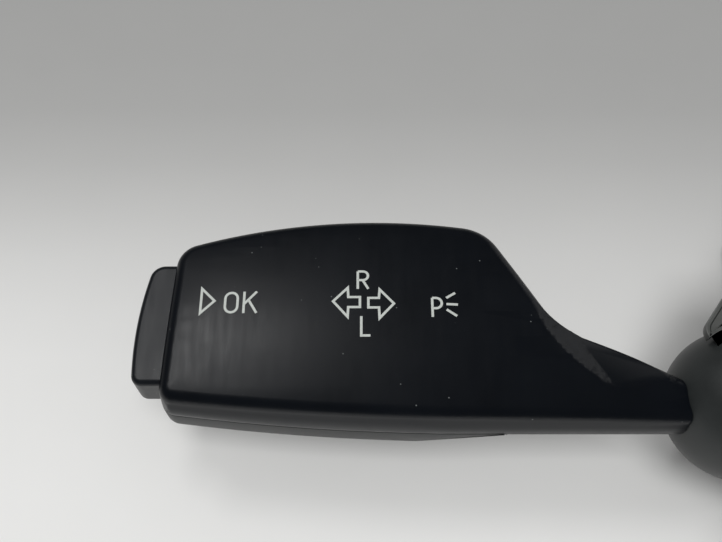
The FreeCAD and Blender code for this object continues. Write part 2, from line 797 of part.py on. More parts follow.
# Rotor: hub with flange, retainer ring, code disc, drive pins and the plugs for the wheel
def rotor_hub():
    hub = turned("hub", [
        ("hub_bore", "hub_foot"), ("hub_spigot", "hub_foot"), ("hub_spigot", "retainer_top"),
        ("hub_radius", "retainer_top"), ("hub_radius", "flange_level"),
        ("flange_radius", "flange_level"), ("flange_radius", "flange_top + rim_height"),
        ("flange_radius - rim_width", "flange_top + rim_height"),
        ("flange_radius - rim_width", "flange_top"),
        ("nose_radius", "flange_top"), ("nose_radius", "nose_top"), ("hub_bore", "nose_top")])
    arrow = centre_mark("hub_mark", "flange_radius - rim_width - mark_gap",
                        "flange_radius - rim_width - mark_gap - mark_length", "flange_top")
    return join("hub_marked", [hub, arrow])


def rotor_retainer():
    return turned("retainer", [
        ("hub_spigot", "retainer_level"), ("retainer_radius", "retainer_level"),
        ("retainer_radius", "retainer_top"), ("hub_spigot", "retainer_top")])


def angle_code_disc():
    piece = turned("disc", [
        ("hub_spigot", "disc_level"), ("disc_radius", "disc_level"),
        ("disc_radius", "retainer_level"), ("hub_spigot", "retainer_level")])
    sketch = outline(piece, "disc_slot", "XY_Plane", [
        ("disc_radius - slot_radial - 1", "-slot_tangential / 2"),
        ("disc_radius - 1", "-slot_tangential / 2"),
        ("disc_radius - 1", "slot_tangential / 2"),
        ("disc_radius - slot_radial - 1", "slot_tangential / 2")], level="disc_level - 1")
    doc.recompute()
    pocket = bind(piece.newObject("PartDesign::Pocket", "disc_pocket"),
                  Length="disc_thickness + 2")
    pocket.Profile = sketch
    pocket.Reversed = True
    piece.Tip = pocket
    pattern = piece.newObject("PartDesign::PolarPattern", "disc_pattern")
    pattern.Originals = [pocket]
    pattern.Axis = (sketch, ["N_Axis"])
    pattern.Angle = 360
    bind(pattern, Occurrences="disc_slots")
    piece.Tip = pattern
    return piece


def drive_pins():
    pins = [turned(f"drive_pin{side}", [
        ("0", "flange_top"), ("drive_pin_radius", "flange_top"),
        ("drive_pin_radius", "drive_pin_top - drive_pin_chamfer"),
        ("drive_pin_radius - drive_pin_chamfer", "drive_pin_top"), ("0", "drive_pin_top")],
        at=(f"{side}drive_pin_reach", "0", "0")) for side in ("-", "")]
    return join("drive_pin_pair", pins)


def socket(name, middle, width):
    """An open topped plug shell that stands on the rotor flange."""
    across, along = middle
    shell = box(name + "_shell", (f"{across} - {width} / 2", f"{across} + {width} / 2"),
                (f"{along} - airbag_plug_depth / 2", f"{along} + airbag_plug_depth / 2"),
                ("flange_top", "plug_top"))
    mouth = box(name + "_mouth",
                (f"{across} - {width} / 2 + plug_wall", f"{across} + {width} / 2 - plug_wall"),
                (f"{along} - airbag_plug_depth / 2 + plug_wall",
                 f"{along} + airbag_plug_depth / 2 - plug_wall"),
                ("flange_top + plug_floor", "plug_top + 1"))
    out = "-" if along.startswith("-") else ""
    face = f"{along} {out or '+'} airbag_plug_depth / 2"
    nib_end = f"{face} {out or '+'} latch_out"
    nib = box(name + "_latch", (f"{across} - latch_half", f"{across} + latch_half"),
              (nib_end, along) if out else (along, nib_end),
              ("plug_top - latch_drop - latch_height", "plug_top - latch_drop"))
    return cut(name, join(name + "_latched", [shell, nib]), [mouth])


AIRBAG_LEFT = ("-airbag_plug_side", "airbag_plug_out")
AIRBAG_RIGHT = ("airbag_plug_side", "airbag_plug_out")
WHEEL_PLUG = ("0", "-airbag_plug_out")


def rotor_pins():
    pins = []
    for middle, number in ((AIRBAG_LEFT, 2), (AIRBAG_RIGHT, 2), (WHEEL_PLUG, 7)):
        for index in range(number):
            offset = index - (number - 1) / 2
            pins.append(rod(f"rotor_pin{len(pins)}", "pin_radius",
                            (f"{middle[0]} + pin_pitch * {offset}", middle[1],
                             "flange_top + plug_floor"), "pin_height"))
    return join("rotor_pin_set", pins)


# Control board, angle sensor and the plug to the vehicle
def control_board():
    ring = cut("board_ring",
               rod("board_disc", "board_outer", ("0", "0", "board_level"), "board_thickness"),
               [rod("board_hole", "board_inner", ("0", "0", "board_level - 1"),
                    "board_thickness + 2")])
    sector = common("board_sector", [ring, box("board_limit", ("-board_side", "board_side"),
                                               ("-board_outer", "-board_edge"),
                                               ("board_level", "board_top"))])
    tongue = box("board_tongue", ("-tongue_width / 2", "tongue_width / 2"),
                 ("-tongue_reach", "-(board_inner + board_outer) / 2"),
                 ("board_level", "board_top"))
    holes = [rod(f"board_screw_hole{number}", "small_shank + screw_clearance",
                 (across, up, "board_level - 1"), "board_thickness + 2")
             for number, (across, up) in enumerate(POST_PLACES)]
    return cut("board", join("board_whole", [sector, tongue]), holes)


def angle_sensor():
    return box("sensor", ("-sensor_width / 2", "sensor_width / 2"),
               ("-disc_radius + sensor_inset", "-board_inner"),
               ("board_top", "disc_level - sensor_gap"))


def vehicle_socket():
    shell = box("vehicle_shell", ("-vehicle_plug_width / 2", "vehicle_plug_width / 2"),
                ("-vehicle_plug_reach", "-vehicle_plug_back"),
                ("board_level - vehicle_plug_height", "board_level"))
    mouth = box("vehicle_mouth",
                ("-vehicle_plug_width / 2 + vehicle_plug_wall",
                 "vehicle_plug_width / 2 - vehicle_plug_wall"),
                ("-vehicle_plug_reach - 1", "-vehicle_plug_back - vehicle_plug_end"),
                ("board_level - vehicle_plug_height + vehicle_plug_wall",
                 "board_level - vehicle_plug_wall"))
    underside = "board_level - vehicle_plug_height"
    ribs = [box(f"vehicle_guide{side}", (f"{side}guide_side - guide_half",
                                         f"{side}guide_side + guide_half"),
                ("-vehicle_plug_reach", "-vehicle_plug_back"),
                (f"{underside} - guide_height", underside)) for side in ("-", "")]
    latch_start = "-vehicle_plug_reach + vehicle_latch_start"
    ribs.append(box("vehicle_latch", ("-vehicle_latch_half", "vehicle_latch_half"),
                    (latch_start, f"{latch_start} + vehicle_latch_length"),
                    (f"{underside} - vehicle_latch_height", underside)))
    return cut("vehicle", join("vehicle_ribbed", [shell] + ribs), [mouth])


def socket_pins():
    pins = []
    for height in ("-1", "1"):
        for index in range(count("vehicle_pin_count")):
            across = f"vehicle_pin_pitch * {index - (count('vehicle_pin_count') - 1) / 2}"
            level = f"board_level - vehicle_plug_height / 2 + {height} * vehicle_pin_pitch / 2"
            pins.append(box(f"vehicle_pin{len(pins)}",
                            (f"{across} - vehicle_pin_side / 2",
                             f"{across} + vehicle_pin_side / 2"),
                            ("-vehicle_plug_back - vehicle_plug_end - vehicle_pin_length",
                             "-vehicle_plug_back - vehicle_plug_end"),
                            (f"{level} - vehicle_pin_side / 2",
                             f"{level} + vehicle_pin_side / 2")))
    return join("vehicle_pin_set", pins)


# Switch case of a lever: a box with a cup round the ball and a fork that carries the bracket
def switch_case():
    shell = box("case_shell", ("case_front", "case_back"), ("-case_half", "case_half"),
                ("case_low", "case_high"), BALL)
    soft_shell = rounded("case_corners", shell, "case_corner", lambda middle, along, edge:
                         abs(along.z) > 0.9 and middle.x < value("-ball_reach + wall_back"))
    cup = rod("case_cup", "cup_radius", ("0", "0", "0"), "wall_back", "x", BALL)
    room = box("case_room", ("wall_back", "case_inside"),
               ("-case_half + case_wall", "case_half - case_wall"),
               ("contact_level", "case_high + 1"), BALL)
    cup_room = rod("cup_room", "cup_bore", ("-1", "0", "0"), "case_front + 1", "x", BALL)
    outer = cut("case_outer", join("case_whole", [soft_shell, cup]), [room, cup_room])
    window = box("case_window", ("case_front - 1", "wall_back + 1"),
                 ("-window_half", "window_half"), ("-window_tall", "window_tall"), BALL)
    fingers = []
    for side, (low, high) in {"up": ("finger_low", "finger_high"),
                              "down": ("-finger_high", "-finger_low")}.items():
        fingers.append(box(f"finger_{side}", ("-finger_out", "case_front"),
                           ("-finger_half", "finger_half"), (low, high), BALL))
    lugs = []
    holes = []
    for side in ("-", ""):
        low, high = (("-lug_side - lug_half", "-case_half") if side
                     else ("case_half", "lug_side + lug_half"))
        lugs.append(box(f"case_lug{side}", ("lug_reach - lug_half", "lug_reach + lug_half"),
                        (low, high), ("lug_level - ball_height",
                                      "lug_level + lug_thickness - ball_height"), BALL))
        holes.append(rod(f"case_lug_hole{side}", "screw_shank + screw_clearance",
                         ("lug_reach", f"{side}lug_side", "lug_level - ball_height - 1"),
                         "lug_thickness + 2", "z", BALL))
    bearing = rod("bearing_bore", "trunnion_radius + running_gap",
                  ("0", "0", "-finger_high - 1"), "finger_high * 2 + 2", "z", BALL)
    whole = join("case_fused", [cut("case_open", outer, [window])] + fingers + lugs)
    return cut("case", whole, holes + [bearing])


def switch_lid():
    """Flat lid with a wing that reaches past the ball on its upper side."""
    plate = box("lid_plate", ("wall_back + pocket_gap", "case_back"), ("-case_half", "case_half"),
                ("case_high", "lid_high"), BALL)
    wing = body("lid_wing", BALL)
    rise = "(wing_top - wing_tip_up)"
    sketch = outline(wing, "lid_wing_outline", "XY_Plane", [
        ("-wing_tip_out", "wing_tip_up"), ("-wing_tip_out + wing_nose", "wing_tip_up - wing_drop"),
        ("wall_back + wing_nose", "wing_tip_up - wing_drop"),
        ("wall_back + wing_foot", "case_half"), ("wall_back + wing_foot", "wing_top"),
        (f"-wing_tip_out + {rise} / tan(wing_slope)", "wing_top")], level="case_high")
    pad(wing, sketch, "lid_thickness")
    wing_round = rounded("lid_wing_round", wing, "wing_corner", lambda middle, along, edge:
                         abs(along.z) > 0.9 and middle.x < value("-ball_reach - wing_tip_out + 1"))
    ball_room = rod("lid_ball_room", "sqrt(ball_radius^2 - case_high^2) + cup_gap",
                    ("0", "0", "case_high - 1"), "lid_thickness + 2", "z", BALL)
    cup_room = rod("lid_cup_room", "cup_radius + pocket_gap", ("-pocket_gap", "0", "0"),
                   "wall_back + 2 * pocket_gap", "x", BALL)
    drum_room = cut("lid_drum_room",
                    rod("lid_drum", "drum_radius + pocket_gap", ("0", "0", "case_top - 1"),
                        "lid_thickness + 2"),
                    [box("lid_pocket", ("-ball_reach", "0"), ("-case_half", "case_half"),
                         ("case_top - 2", "drum_height + 2"))])
    whole = cut("lid_whole", join("lid_fused", [plate, wing_round]),
                [ball_room, cup_room, drum_room])
    return whole


def contact_board():
    return box("contact_plate", ("wall_back + pocket_gap", "case_inside - pocket_gap"),
               ("-contact_board_half", "contact_board_half"), ("contact_level", "contact_top"),
               BALL)


def detent_track():
    """Block with a hollow centred on the ball, so the plunger stays in it over both travels."""
    block = box("track_block", ("track_front", "case_inside"), ("-track_half", "track_half"),
                ("-track_low", "track_high"), BALL)
    bowl = put(bind(doc.addObject("Part::Sphere", "track_bowl"), Radius="track_reach"), ORIGIN,
               BALL)
    notches = []
    for step in (-1, 0, 1):
        notches.append(rod(f"track_notch{step + 1}", "notch_radius",
                           (f"track_reach * cos({step} * notch_angle)",
                            f"track_reach * sin({step} * notch_angle)",
                            "-track_low + notch_end"),
                           "track_low + track_high - 2 * notch_end", "z", BALL))
    return cut("track", block, [bowl] + notches)


# Swivel bracket: turns on two trunnions in the fork, and the arm tilts on a pin across it
def swivel_bracket():
    frame = box("bracket_frame", ("-bracket_out", "bracket_in"),
                ("-bracket_half", "bracket_half"), ("-bracket_tall", "bracket_tall"), BALL)
    hole = box("bracket_hole", ("-bracket_out - 1", "bracket_in + 1"),
               ("-bracket_window_half", "bracket_window_half"),
               ("-bracket_window_tall", "bracket_window_tall"), BALL)
    pin_hole = rod("bracket_pin_hole", "cross_pin_radius", ("0", "-bracket_half - 1", "0"),
                   "2 * bracket_half + 2", "y", BALL)
    root = "bracket_tall - 1"
    length = f"finger_high - trunnion_inset - ({root})"
    trunnions = [rod("trunnion_up", "trunnion_radius", ("0", "0", root), length, "z", BALL),
                 rod("trunnion_down", "trunnion_radius", ("0", "0", "-finger_high + trunnion_inset"),
                     length, "z", BALL)]
    tail = box("bracket_tail", ("bracket_in - 1", "tail_reach"), ("-tail_half", "tail_half"),
               ("-bracket_tall", "-bracket_tall + tail_thickness"), BALL)
    open_frame = cut("bracket_open", frame, [hole, pin_hole])
    return join("bracket", [open_frame, tail] + trunnions)


def cross_pin():
    return rod("pin_across", "cross_pin_radius", ("0", "-bracket_half", "0"),
               "2 * bracket_half", "y", BALL)


def contact_wiper():
    return box("wiper_block", ("tail_reach - wiper_length", "tail_reach"),
               ("-wiper_half", "wiper_half"), ("contact_top + wiper_gap", "-bracket_tall"), BALL)


# Lever arm with the spring loaded detent plunger in its inner end
def lever_arm():
    inner = box("arm_inner", ("-arm_step - 1", "arm_tail"), ("-arm_half", "arm_half"),
                ("-arm_tall", "arm_tall"), BALL)
    outer = box("arm_outer", ("-arm_reach", "-arm_step"), ("neck_arm_low", "neck_arm_high"),
                ("neck_arm_back", "neck_arm_face"), BALL)
    bore = rod("arm_bore", "bore_radius", ("plunger_bore_end", "0", "0"),
               "arm_tail - plunger_bore_end + 1", "x", BALL)
    pivot = rod("arm_pivot", "cross_pin_radius + running_gap", ("0", "-arm_half - 1", "0"),
                "2 * arm_half + 2", "y", BALL)
    return cut("arm", join("arm_whole", [inner, outer]), [bore, pivot])


def detent_plunger():
    return turned("plunger", [
        ("plunger_back", "0"), ("tip_reach", "0"), ("tip_reach - plunger_radius",
                                                   "plunger_radius"),
        ("plunger_back", "plunger_radius")], {1: ("plunger_radius", 1)}, "H_Axis", BALL)


def ball_cover():
    """Spherical shell, open at the back, with a hole for the arm."""
    open_at = "ball_open"
    inner = "ball_radius - ball_wall"
    shell = turned("ball_shell", [
        (open_at, f"sqrt(({inner})^2 - ball_open^2)"),
        (open_at, "sqrt(ball_radius^2 - ball_open^2)"), ("-ball_radius", "0"),
        (f"-({inner})", "0")],
        {1: ("ball_radius", 1), 3: (inner, -1)}, "H_Axis", BALL)
    hole = box("ball_arm_hole", ("-ball_radius - 1", "-ball_radius / 2"),
               ("neck_arm_low - arm_gap", "neck_arm_high + arm_gap"),
               ("neck_arm_back - arm_gap", "neck_arm_face + arm_gap"), BALL)
    return cut("ball", shell, [hole])


# Handle: one outline padded from the parting plane to the face and to the back
HANDLE_POINTS = [
    ("-handle_end", "end_bottom"), ("-belly_start", "belly_level"),
    ("-neck_end", "belly_level"), ("-neck_end", "neck_top"), ("-kink_out", "kink_up"),
    ("-shoulder_out", "shoulder_up"), ("-handle_end + end_lean", "end_top"),
]
HANDLE_ARCS = {0: ("belly_radius", 1), 5: ("crown_line_radius", 1)}


def handle_outline(name):
    sketch = doc.addObject("Sketcher::SketchObject", name)
    put(sketch, ORIGIN, BALL)
    draw(sketch, HANDLE_POINTS, HANDLE_ARCS)
    return sketch


def handle_block(name, low, high, cutters=()):
    """The handle's outline between two levels, less the cutters, its upright corners rounded."""
    piece = body(name, BALL)
    sketch = outline(piece, name + "_outline", "XY_Plane", HANDLE_POINTS, HANDLE_ARCS, low)
    pad(piece, sketch, f"({high}) - ({low})")
    result = cut(name + "_cut", piece, cutters) if cutters else piece
    reach = value("shell_wall")
    for number, radius in ((0, "end_corner_low"), (6, "end_corner"), (5, "shoulder_corner"),
                           (4, "kink_corner")):
        spot = Vector(value(f"-ball_reach + {HANDLE_POINTS[number][0]}"),
                      value(HANDLE_POINTS[number][1]), 0)
        result = rounded(f"{name}_round{number}", result, radius, lambda middle, along, edge:
                         abs(along.z) > 0.9 and
                         Vector(middle.x - spot.x, middle.y - spot.y, 0).Length < reach)
    return result


def handle_room(name):
    """The hollow of the handle, a wall smaller than its outline."""
    plan = handle_outline(name + "_outline")
    doc.recompute()
    inset = plan.Shape.Wires[0].makeOffset2D(-value("shell_wall"), 2, False, False, True)
    room = doc.addObject("Part::Feature", name)
    room.Shape = Part.Face(inset).extrude(Vector(0, 0, value("shell_ceiling - shell_floor")))
    room.Placement = Placement(Vector(0, 0, value("shell_floor")), Rotation())
    return room


def face_lean_cutter(name, inset):
    """The space outside the lower wall of the face, which leans in towards the face."""
    sketch = doc.addObject("Sketcher::SketchObject", name + "_plan")
    put(sketch, ("0", inset, "parting_level"), BALL)
    below = "2 * belly_level"
    draw(sketch, [HANDLE_POINTS[0], HANDLE_POINTS[1], ("0", "belly_level"), ("0", below),
                  ("-handle_end", below)], {0: HANDLE_ARCS[0]})
    item = doc.addObject("Part::Extrusion", name)
    item.Base = sketch
    item.DirMode = "Custom"
    item.Dir = Vector(0, math.tan(math.radians(value("face_lean"))), 1)
    item.Solid = True
    return bind(item, LengthFwd="2 * face_level")


def neck_lean_cutters(name, inset):
    """The space outside the rear shell under the neck, and where that lean runs out."""
    lean = math.radians(value("neck_lean"))
    down = Vector(0, math.sin(lean), -math.cos(lean))
    inwards = Vector(0, math.cos(lean), math.sin(lean)) * value(inset)
    foot = Vector(-value("neck_lean_end"), value("belly_level"), value("parting_level"))
    far = Vector(-value("neck_taper_end"), value("belly_level + neck_taper_side"),
                 value("parting_level - neck_taper_drop"))
    cutters = []
    for part, start, end in (("lean", foot, Vector(0, foot.y, foot.z)), ("taper", far, foot)):
        block = bind(doc.addObject("Part::Box", f"{name}_{part}"), Width="2 * face_level",
                     Height="3 * face_level")
        block.Length = (end - start).Length
        turn = Rotation(end - start, Vector(), down, "XZY")
        block.Placement = Placement(start + inwards, turn)
        cutters.append(put(block, [str(number) for number in block.Placement.Base], BALL))
    return cutters


def neck_cutter(name, drop):
    """The space over the neck: above a plane that falls to the upper edge, inside a cone."""
    above = bind(doc.addObject("Part::Box", name + "_plane"), Length="2 * shoulder_out",
                 Width="2 * shoulder_up", Height="2 * face_level")
    above.Placement = Placement(Vector(), Rotation(Vector(1, 0, 0), -value("neck_tilt")))
    put(above, ("-2 * shoulder_out + neck_end", "crease_foot_up", f"face_level - ({drop})"),
        BALL)
    spread = "/ tan(crease_slope)"
    inside = bind(doc.addObject("Part::Cone", name + "_crease"), Height="2 * crease_depth",
                  Radius1=f"crease_radius - crease_depth {spread}",
                  Radius2=f"crease_radius + crease_depth {spread}")
    put(inside, ("-crease_centre_out", "crease_centre_up",
                 f"face_level - ({drop}) - crease_depth"), BALL)
    return common(name, [above, inside])


def end_window(name):
    return box(name, ("-handle_end - 1", "-handle_end + end_lean + shell_wall + 1"),
               ("button_low - button_gap", "button_high + button_gap"),
               ("button_bottom - button_gap", "button_top + button_gap"), BALL)


SHELL_SCREWS = [("-shell_screw_near", "shell_screw_near_up"),
                ("-shell_screw_far", "shell_screw_far_up")]


def seat(name):
    """The ball, a hair larger, which the neck's end is cut to."""
    return put(bind(doc.addObject("Part::Sphere", name), Radius="ball_radius + ball_seat"),
               ORIGIN, BALL)


def front_form():
    """Face half of the handle, crowned both ways, before it is hollowed."""
    block = handle_block("front_block", "parting_level", "face_level + 0.5",
                         [face_lean_cutter("face_lean_cut", "0")])
    crown = bind(doc.addObject("Part::Torus", "front_crown"),
                 Radius1="face_crown_length - face_crown_height", Radius2="face_crown_height")
    crown.Placement = Placement(Vector(), TURNED["y"])
    put(crown, ("-crown_centre_out", "crown_centre_up", "face_level - face_crown_length"), BALL)
    return common("front_crowned", [block, crown])


def front_shell():
    lip = box("front_parting", ("-handle_end - 5", "0"), ("-40", "60"),
              ("0", "parting_level + parting_gap / 2"), BALL)
    bosses = [rod(f"front_boss{number}", "shell_boss", (across, up, "parting_level"),
                  "shell_ceiling - parting_level + 0.5", "z", BALL)
              for number, (across, up) in enumerate(SHELL_SCREWS)]
    pilots = [rod(f"front_pilot{number}", "small_shank + screw_clearance",
                  (across, up, "0"), "shell_ceiling", "z", BALL)
              for number, (across, up) in enumerate(SHELL_SCREWS)]
    smooth = rounded("front_smooth", front_form(), "face_fillet", front_edge)
    necked = cut("front_necked", smooth, [neck_cutter("neck_cut", "crease_drop")])
    room = cut("front_room", handle_room("front_room_block"),
               [neck_cutter("neck_room_cut", "crease_drop + shell_wall"),
                face_lean_cutter("lean_room_cut", "shell_wall")])
    hollow = cut("front_hollow", necked, [room])
    clamp = box("front_clamp", ("-clamp_far", "-clamp_near"), ("neck_arm_low", "neck_arm_high"),
                ("neck_arm_face", "shell_ceiling"), BALL)
    return cut("front", join("front_bossed", [hollow, clamp] + bosses),
               pilots + [lip, end_window("front_window"), seat("front_seat")])


def front_edge(middle, along, edge):
    level = value("ball_height + parting_level")
    return middle.z > level + 3 and abs(along.z) < 0.5 and edge.Length > 1.0


def rear_shell():
    block = handle_block("rear_block", "back_level", "parting_level - parting_gap / 2")
    smooth = rounded("rear_smooth", block, "back_fillet", lambda middle, along, edge:
                     middle.z < value("ball_height + back_level") + 0.1)
    necked = cut("rear_necked", smooth, neck_lean_cutters("rear_neck", "0"))
    room = cut("rear_room", handle_room("rear_room_block"),
               neck_lean_cutters("rear_neck_room", "neck_wall"))
    hollow = cut("rear_hollow", necked, [room])
    clamp = box("rear_clamp", ("-clamp_far", "-clamp_near"), ("neck_arm_low", "neck_arm_high"),
                ("shell_floor - shell_wall / 2", "neck_arm_back"), BALL)
    bosses = [rod(f"rear_boss{number}", "shell_boss", (across, up, "back_level + 1"),
                  "parting_level - back_level - 1 - parting_gap / 2", "z", BALL)
              for number, (across, up) in enumerate(SHELL_SCREWS)]
    bores = []
    for number, (across, up) in enumerate(SHELL_SCREWS):
        bores.append(rod(f"rear_bore{number}", "small_shank + screw_clearance",
                         (across, up, "back_level - 1"), "face_level - back_level", "z", BALL))
        bores.append(rod(f"rear_counterbore{number}", "small_head + screw_clearance",
                         (across, up, "back_level - 1"),
                         "small_head_height + shell_head_recess + 1", "z", BALL))
    return cut("rear", join("rear_bossed", [hollow, clamp] + bosses),
               bores + [end_window("rear_window"), seat("rear_seat")])


def shell_screws():
    screws = []
    for number, (across, up) in enumerate(SHELL_SCREWS):
        level = "back_level + shell_head_recess"
        screws.append(rod(f"shell_screw_head{number}", "small_head", (across, up, level),
                          "small_head_height", "z", BALL))
        screws.append(rod(f"shell_screw_shank{number}", "small_shank",
                          (across, up, f"{level} + small_head_height"), "shell_screw_length",
                          "z", BALL))
    return join("shell_screw_pair", screws)


# End button with its spring and the small board it presses
def end_button():
    piece = body("button", BALL)
    sketch = outline(piece, "button_outline", "XY_Plane", [
        ("-button_end + button_bow_low", "button_low"), ("-button_back", "button_low"),
        ("-button_back", "button_high"), ("-button_end + button_bow_high", "button_high"),
        ("-button_end", "button_peak")],
        {3: ("button_arc", 1), 4: ("button_arc", 1)}, "button_bottom")
    pad(piece, sketch, "button_top - button_bottom")
    corner = piece
    for bow, radius in (("button_bow_low", "button_corner_low"),
                        ("button_bow_high", "button_corner")):
        edge_at = value(f"-ball_reach - button_end + {bow}")
        corner = rounded(radius + "_round", corner, radius, lambda middle, along, edge:
                         abs(along.z) > 0.9 and abs(middle.x - edge_at) < 0.1)
    soft = rounded("button_soft", corner, "button_fillet", lambda middle, along, edge:
                   abs(along.z) < 0.1 and
                   middle.x < value("-ball_reach - button_back - button_corner"))
    stop = "-handle_end + shell_wall + end_lean + button_gap"
    rib = box("button_ribs", (stop, f"{stop} + button_rib_length"),
              ("button_low - button_rib", "button_high + button_rib"),
              ("button_bottom", "button_top"), BALL)
    plate = cut("button_room",
                box("button_core", ("-button_back - core_depth", "-button_back + 1"),
                    ("button_low + button_wall", "button_high - button_wall"),
                    ("button_bottom + button_wall", "button_top - button_wall"), BALL),
                [rod("button_stem", "button_spring_radius - 2 * spring_wire",
                     ("-button_back - core_depth - 1", "button_mid",
                      "(button_bottom + button_top) / 2"), "core_depth + 3", "x", BALL)])
    pusher = rod("button_pusher", "pusher_radius",
                 ("-button_back - core_depth - 1", "button_mid + switch_side", "switch_up"),
                 "button_back + core_depth + 1 - button_board_out - switch_height"
                 " - button_travel - tip_gap", "x", BALL)
    return join("button_pushed", [cut("button_whole", join("button_ribbed", [soft, rib]),
                                      [plate]), pusher])


def button_board():
    plate = box("button_plate", ("-button_board_out", "-button_board_out + 1.2"),
                ("button_mid - button_board_half", "button_mid + button_board_half"),
                ("shell_floor + 0.3", "shell_ceiling - 0.3"), BALL)
    switch = box("button_switch", ("-button_board_out - switch_height", "-button_board_out"),
                 ("button_mid + switch_side - switch_half", "button_mid + switch_side + switch_half"),
                 ("switch_up - switch_half", "switch_up + switch_half"), BALL)
    return join("button_electronics", [plate, switch])


# Thumb wheel that stands a little proud of the wiper lever's face
def thumb_wheel():
    middle = ("ball_reach + wheel_out", "wheel_up", "ball_height + wheel_level")
    disc = rod("wheel_disc", "wheel_radius", ("ball_reach + wheel_out - wheel_width / 2",
                                              middle[1], middle[2]), "wheel_width", "x")
    bore = rod("wheel_bore", "wheel_axle + running_gap",
               ("ball_reach + wheel_out - wheel_width", middle[1], middle[2]),
               "2 * wheel_width", "x")
    grooves = []
    for tooth in range(count("wheel_teeth")):
        angle = 360.0 * tooth / count("wheel_teeth")
        grooves.append(rod(f"wheel_groove{tooth}", "wheel_tooth_radius",
                           ("ball_reach + wheel_out - wheel_width",
                            f"{middle[1]} + wheel_radius * cos({angle})",
                            f"{middle[2]} + wheel_radius * sin({angle})"),
                           "2 * wheel_width", "x"))
    return cut("wheel", disc, grooves + [bore])


def thumb_wheel_axle():
    return rod("wheel_pin", "wheel_axle", ("ball_reach + wheel_out - wheel_axle_length / 2",
                                           "wheel_up", "ball_height + wheel_level"),
               "wheel_axle_length", "x")


def thumb_wheel_cradle():
    """Two blocks under the face that hold the ends of the axle."""
    blocks = []
    for side in ("-", ""):
        near = f"ball_reach + wheel_out {side or '+'} (wheel_width / 2 + wheel_slot_gap)"
        far = f"{near} {side or '+'} cradle_length"
        blocks.append(box(f"cradle{side}", (far, near) if side else (near, far),
                          ("wheel_up - cradle_half", "wheel_up + cradle_half"),
                          ("ball_height + wheel_level",
                           "ball_height + shell_ceiling + running_gap")))
    seat_bore = rod("cradle_bore", "wheel_axle + screw_clearance",
                    ("ball_reach + wheel_out - wheel_axle_length", "wheel_up",
                     "ball_height + wheel_level"), "2 * wheel_axle_length", "x")
    return cut("cradles", join("cradle_pair", blocks), [seat_bore])


def thumb_wheel_slot(name):
    return box(name, ("ball_reach + wheel_out - wheel_width / 2 - wheel_slot_gap",
                      "ball_reach + wheel_out + wheel_width / 2 + wheel_slot_gap"),
               ("wheel_up - wheel_radius - wheel_slot_gap",
                "wheel_up + wheel_radius + wheel_slot_gap"),
               ("ball_height + parting_level", "ball_height + face_level + 3"))


# The whole unit
keep("carrier_housing", carrier_housing())
keep("cassette_base", cassette_base())
keep("cassette_cover", cassette_cover())
keep("ribbon_cable", ribbon_cable())
keep("outer_terminal_block", outer_terminal_block())
keep("inner_terminal_block", inner_terminal_block())
keep("rotor_hub", rotor_hub())
keep("rotor_retainer", rotor_retainer())
keep("angle_code_disc", angle_code_disc())
keep("drive_pins", drive_pins())
keep("airbag_socket_left", socket("airbag_left", AIRBAG_LEFT, "airbag_plug_width"))
keep("airbag_socket_right", socket("airbag_right", AIRBAG_RIGHT, "airbag_plug_width"))
keep("wheel_socket", socket("wheel_plug", WHEEL_PLUG, "wheel_plug_width"))
keep("rotor_pins", rotor_pins())
keep("control_board", control_board())
keep("angle_sensor", angle_sensor())
keep("vehicle_socket", vehicle_socket())
keep("socket_pins", socket_pins())
keep("cassette_screws", join("cassette_screw_set", [
    screw(f"cassette_screw{number}", (across, up, "base_top + ear_thickness"), "screw_shank",
          "screw_head", "screw_head_height", "screw_length")
    for number, (across, up) in enumerate(EAR_PLACES)]))
keep("case_screws", join("case_screw_set", [
    screw(f"case_screw{number}", (across, up, "lug_level + lug_thickness"), "screw_shank",
          "screw_head", "screw_head_height", "screw_length")
    for number, (across, up) in enumerate(corners("(ball_reach - lug_reach)", "lug_side"))]))
keep("board_screws", join("board_screw_set", [
    screw(f"board_screw{number}", (across, up, "board_top"), "small_shank", "small_head",
          "small_head_height", "small_length")
    for number, (across, up) in enumerate(POST_PLACES)]))

MIRRORED = {
    "switch_case": switch_case(),
    "switch_lid": switch_lid(),
    "contact_board": contact_board(),
    "detent_track": detent_track(),
    "swivel_bracket": swivel_bracket(),
    "cross_pin": cross_pin(),
    "contact_wiper": contact_wiper(),
    "lever_arm": lever_arm(),
    "detent_plunger": detent_plunger(),
    "ball_cover": ball_cover(),
    "front_shell": front_shell(),
    "rear_shell": rear_shell(),
    "shell_screws": shell_screws(),
    "end_button": end_button(),
    "button_board": button_board(),
}
ball = Vector(-value("ball_reach"), 0, value("ball_height"))
MIRRORED["detent_spring"] = coil(
    "plunger_coil", value("plunger_spring_radius"), value("spring_wire"),
    ball + Vector(value("plunger_bore_end"), 0, 0), value("plunger_back - plunger_bore_end"), 4)
MIRRORED["button_spring"] = coil(
    "button_coil", value("button_spring_radius"), value("spring_wire"),
    ball + Vector(-value("button_back"), value("button_mid"),
                  value("(button_bottom + button_top) / 2")),
    value("button_spring_length"), 5)

for name, item in MIRRORED.items():
    keep("turn_" + name, item)
    twin = doc.addObject("Part::Mirroring", "wiper_side_" + name)
    twin.Source = item
    twin.Normal = Vector(1, 0, 0)
    if name == "front_shell":
        twin = cut("wiper_front", join("wiper_front_cradled", [twin, thumb_wheel_cradle()]),
                   [thumb_wheel_slot("wheel_slot")])
    keep("wiper_" + name, twin)
keep("wiper_thumb_wheel", thumb_wheel())
keep("wiper_thumb_axle", thumb_wheel_axle())

doc.recompute()
for item in doc.Objects:
    if "Invalid" in item.State or "Error" in item.State:
        raise RuntimeError(f"{item.Label} failed: {item.State}")
for name, item in pieces.items():
    if item.Shape.isNull() or not item.Shape.isValid():
        raise RuntimeError(f"{name} has no valid shape")

